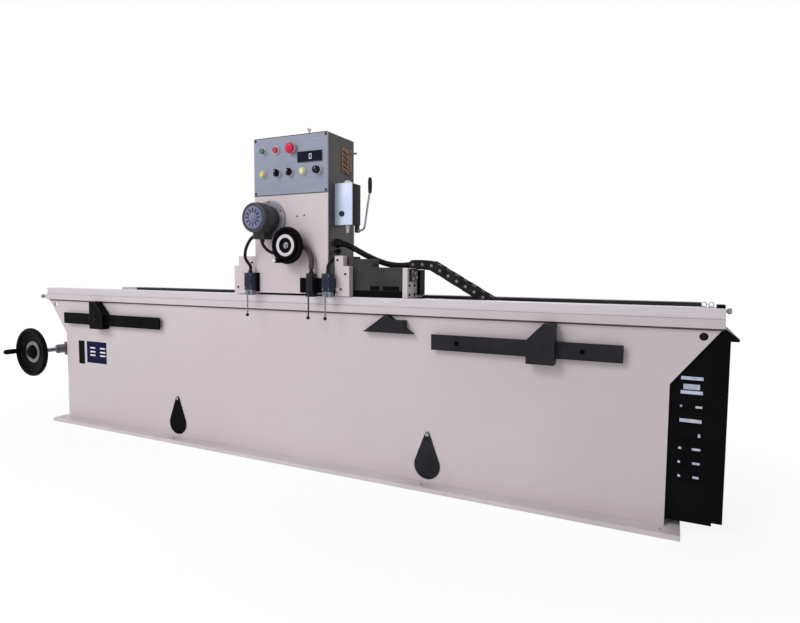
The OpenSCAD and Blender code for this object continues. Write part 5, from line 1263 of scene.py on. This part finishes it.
# Each row's painted highlight stretches, as shares of the louver's width.
highlight_spans = [((0, 1),), ((0, 1),), ((0, 0.10), (0.70, 1)), ((0, 1),), ((0.86, 0.97),), ((0, 0.14), (0.62, 1)),
        ((0, 0.11), (0.66, 1)), ((0.02, 0.14), (0.70, 0.98))]
strips = []
for row, spans in enumerate(highlight_spans):
    z = LOUVER_TOP - LOUVER_PITCH * row
    highlight_height = 0.0130 if len(spans) == 1 else 0.0085
    for u0, u1 in spans:
        middle = (LOUVER_X + LOUVER_W * (u0 + u1) / 2, LOUVER_Y, z)
        strips.append(tilted("louver_painted_highlight", middle, (LOUVER_W * (u1 - u0), HIGHLIGHT_T, highlight_height), LOUVER_LEAN))
# One more painted highlight patch lies on the flat sheet between the two top rows.
strips.append(block("louver_painted_highlight", (LOUVER_X + 0.009, -0.2286, 0.5460), (LOUVER_X + 0.063, -0.2278, 0.5660)))
fit(soften(weld("louver_painted_highlight", *strips), 0.0002, 1), louver_highlight, "bed", "bright_steel")
EAVE_X, EAVE_TOP, EAVE_W, EAVE_SLOPE = 1.9405, 0.7512, 0.2278, (0.611, 0, 0.792)
guard_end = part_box("drive_guard")[1].x
eave = block("guard_eave", (EAVE_X, -EAVE_W, 0.730), (guard_end, EAVE_W, EAVE_TOP))
take(eave)
bpy.ops.object.mode_set(mode="EDIT")
bpy.ops.mesh.select_all(action="SELECT")
bpy.ops.mesh.bisect(plane_co=(EAVE_X, 0, EAVE_TOP), plane_no=EAVE_SLOPE, use_fill=True, clear_outer=True)
leave()
fit(soften(eave, 0.0008), gloss_black, "bed", "black_paint")
print("strips", len(strips))

# %% [markdown]
# ## Small fittings
# At the right end of the front rail stand a black stop, a bright knob and two wire clips. The saddle has a
# brown cast post, way wipers, screw heads and a white oil cup beside the steps of its pale block.

# %% Rail end
stop = soften(block("rail_stop", (1.891, -0.247, 0.8498), (1.918, -0.204, 0.8625)), 0.0015)
end_knob = turned("rail_end_knob", "+X", (1.9195, -0.2150, 0.8390), [
    (0, 0), (0.0055, 0), (0.0055, 0.006), (0.0104, 0.0075), (0.0104, 0.0175), (0.0088, 0.0208),
    (0, 0.0214)], 28)
clip = turned("rail_clips", "+Y", (1.852, -0.199, 0.8605), ring_points(0.0085, 0, 0.0016, 8), 28)
clip_foot = soften(block("rail_clips", (1.842, -0.203, 0.8498), (1.862, -0.195, 0.8522)), 0.0006, 1)
clip = weld("rail_clips", clip, clip_foot)
clips = weld("rail_clips", clip, repeat(clip, "rail_clips", (0.024, 0.008, 0)))
fit(stop, gloss_black, "bed", "black_paint")
fit(weld("rail_clips", clips, end_knob), bright, "bed", "bright_steel")

# %% Saddle fittings
post = soften(block("saddle_post", (0.337, -0.2245, 0.8795), (0.3755, -0.152, 1.042)), 0.003, 3)
fit(post, post_brown, "carriage", "dark_iron")
wipers = [soften(block("way_wipers", (x0, -0.2268, 0.883), (x1, -0.2245, 0.903)), 0.0006, 1)
          for x0, x1 in ((0.468, 0.517), (0.537, 0.620))]
fit(weld("way_wipers", *wipers), gloss_black, "carriage", "black_rubber")
BLOCK_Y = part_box("saddle_blocks")[0].y
oil_cup = turned("oil_cup", "-Y", (0.309, BLOCK_Y + 0.0002, 0.886), [
    (0, 0), (0.0095, 0), (0.0095, 0.003), (0.0075, 0.0065), (0.0045, 0.0072), (0, 0.0068)], 28)
fit(oil_cup, white_nylon, "carriage", "pump_silver")
block_screws = [(x, BLOCK_Y, z) for x, z in ((0.331, 0.886), (0.355, 0.958), (0.312, 1.024), (-0.298, 0.886),
                                             (-0.205, 0.886), (-0.205, 1.012))]
fit(cap_screws("block_screws", "-Y", block_screws, 0.0055, 0.0035), worn_black, "carriage", "bright_steel")
END_X, JUNCTION_X = 0.6615, 0.672
junction = soften(block("end_junction", (END_X, -0.207, 0.926), (JUNCTION_X, -0.132, 0.984)), 0.002)
fit(junction, black_plastic, "carriage", "black_plastic")
heads_at = [(JUNCTION_X - 0.0002, y, z)
            for y, z in ((-0.195, 0.972), (-0.160, 0.965), (-0.185, 0.940), (-0.143, 0.945))]
fit(cap_screws("junction_screws", "+X", heads_at, 0.0055, 0.0025), foot_cream, "carriage", "bright_steel")
end_screws = [(END_X + 0.0003, y, z) for y in (-0.205, -0.150) for z in (0.866, 0.908)]
fit(cap_screws("end_block_screws", "+X", end_screws, 0.0065, 0.004), cast_grey, "carriage", "dark_iron")
print("fittings done")

# %% [markdown]
# ## Grinding head and knife table
# Behind the bed the spindle motor has cooling fins down its sides, and the knife table carries a magnetic
# chuck: a ground steel face crossed by thin resin lines between its poles.

# %% Fins and poles
FIN_MIDDLE = Vector((-0.18, 0.42, 1.185))
FIN_RING, FIN_SIZE = 0.097, (0.012, 0.003, 0.270)
# Two fans of fins stand out to the right and to the left, ten degrees apart.
fin_turns = [math.radians(a) for a in list(range(-60, 61, 10)) + list(range(120, 241, 10))]
fins = []
for turn in fin_turns:
    out = Vector((math.cos(turn), math.sin(turn), 0))
    fins.append(tilted("motor_fins", FIN_MIDDLE + FIN_RING * out, FIN_SIZE, (0, 0, turn)))
fit(soften(weld("motor_fins", *fins), 0.0008, 1), motor_grey, "head", "motor_grey")
stand_in(soft_copy("grinding_motor", 0.002), motor_grey, "grinding_motor")
table_low, table_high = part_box("knife_table")
POLE_COUNT, POLE_T, POLE_INSET = 60, 0.003, 0.0015
pole_pitch = (table_high.x - table_low.x) / POLE_COUNT
lines = [block("chuck_poles", (x - POLE_T / 2, table_low.y + POLE_INSET, table_high.z - 0.0005),
               (x + POLE_T / 2, table_high.y - POLE_INSET, table_high.z + 0.0003))
         for x in [table_low.x + pole_pitch * (i + 0.5) for i in range(POLE_COUNT)]]
fit(weld("chuck_poles", *lines), resin, "table", "dark_iron")
print("fins", len(fins), "pole lines", len(lines))
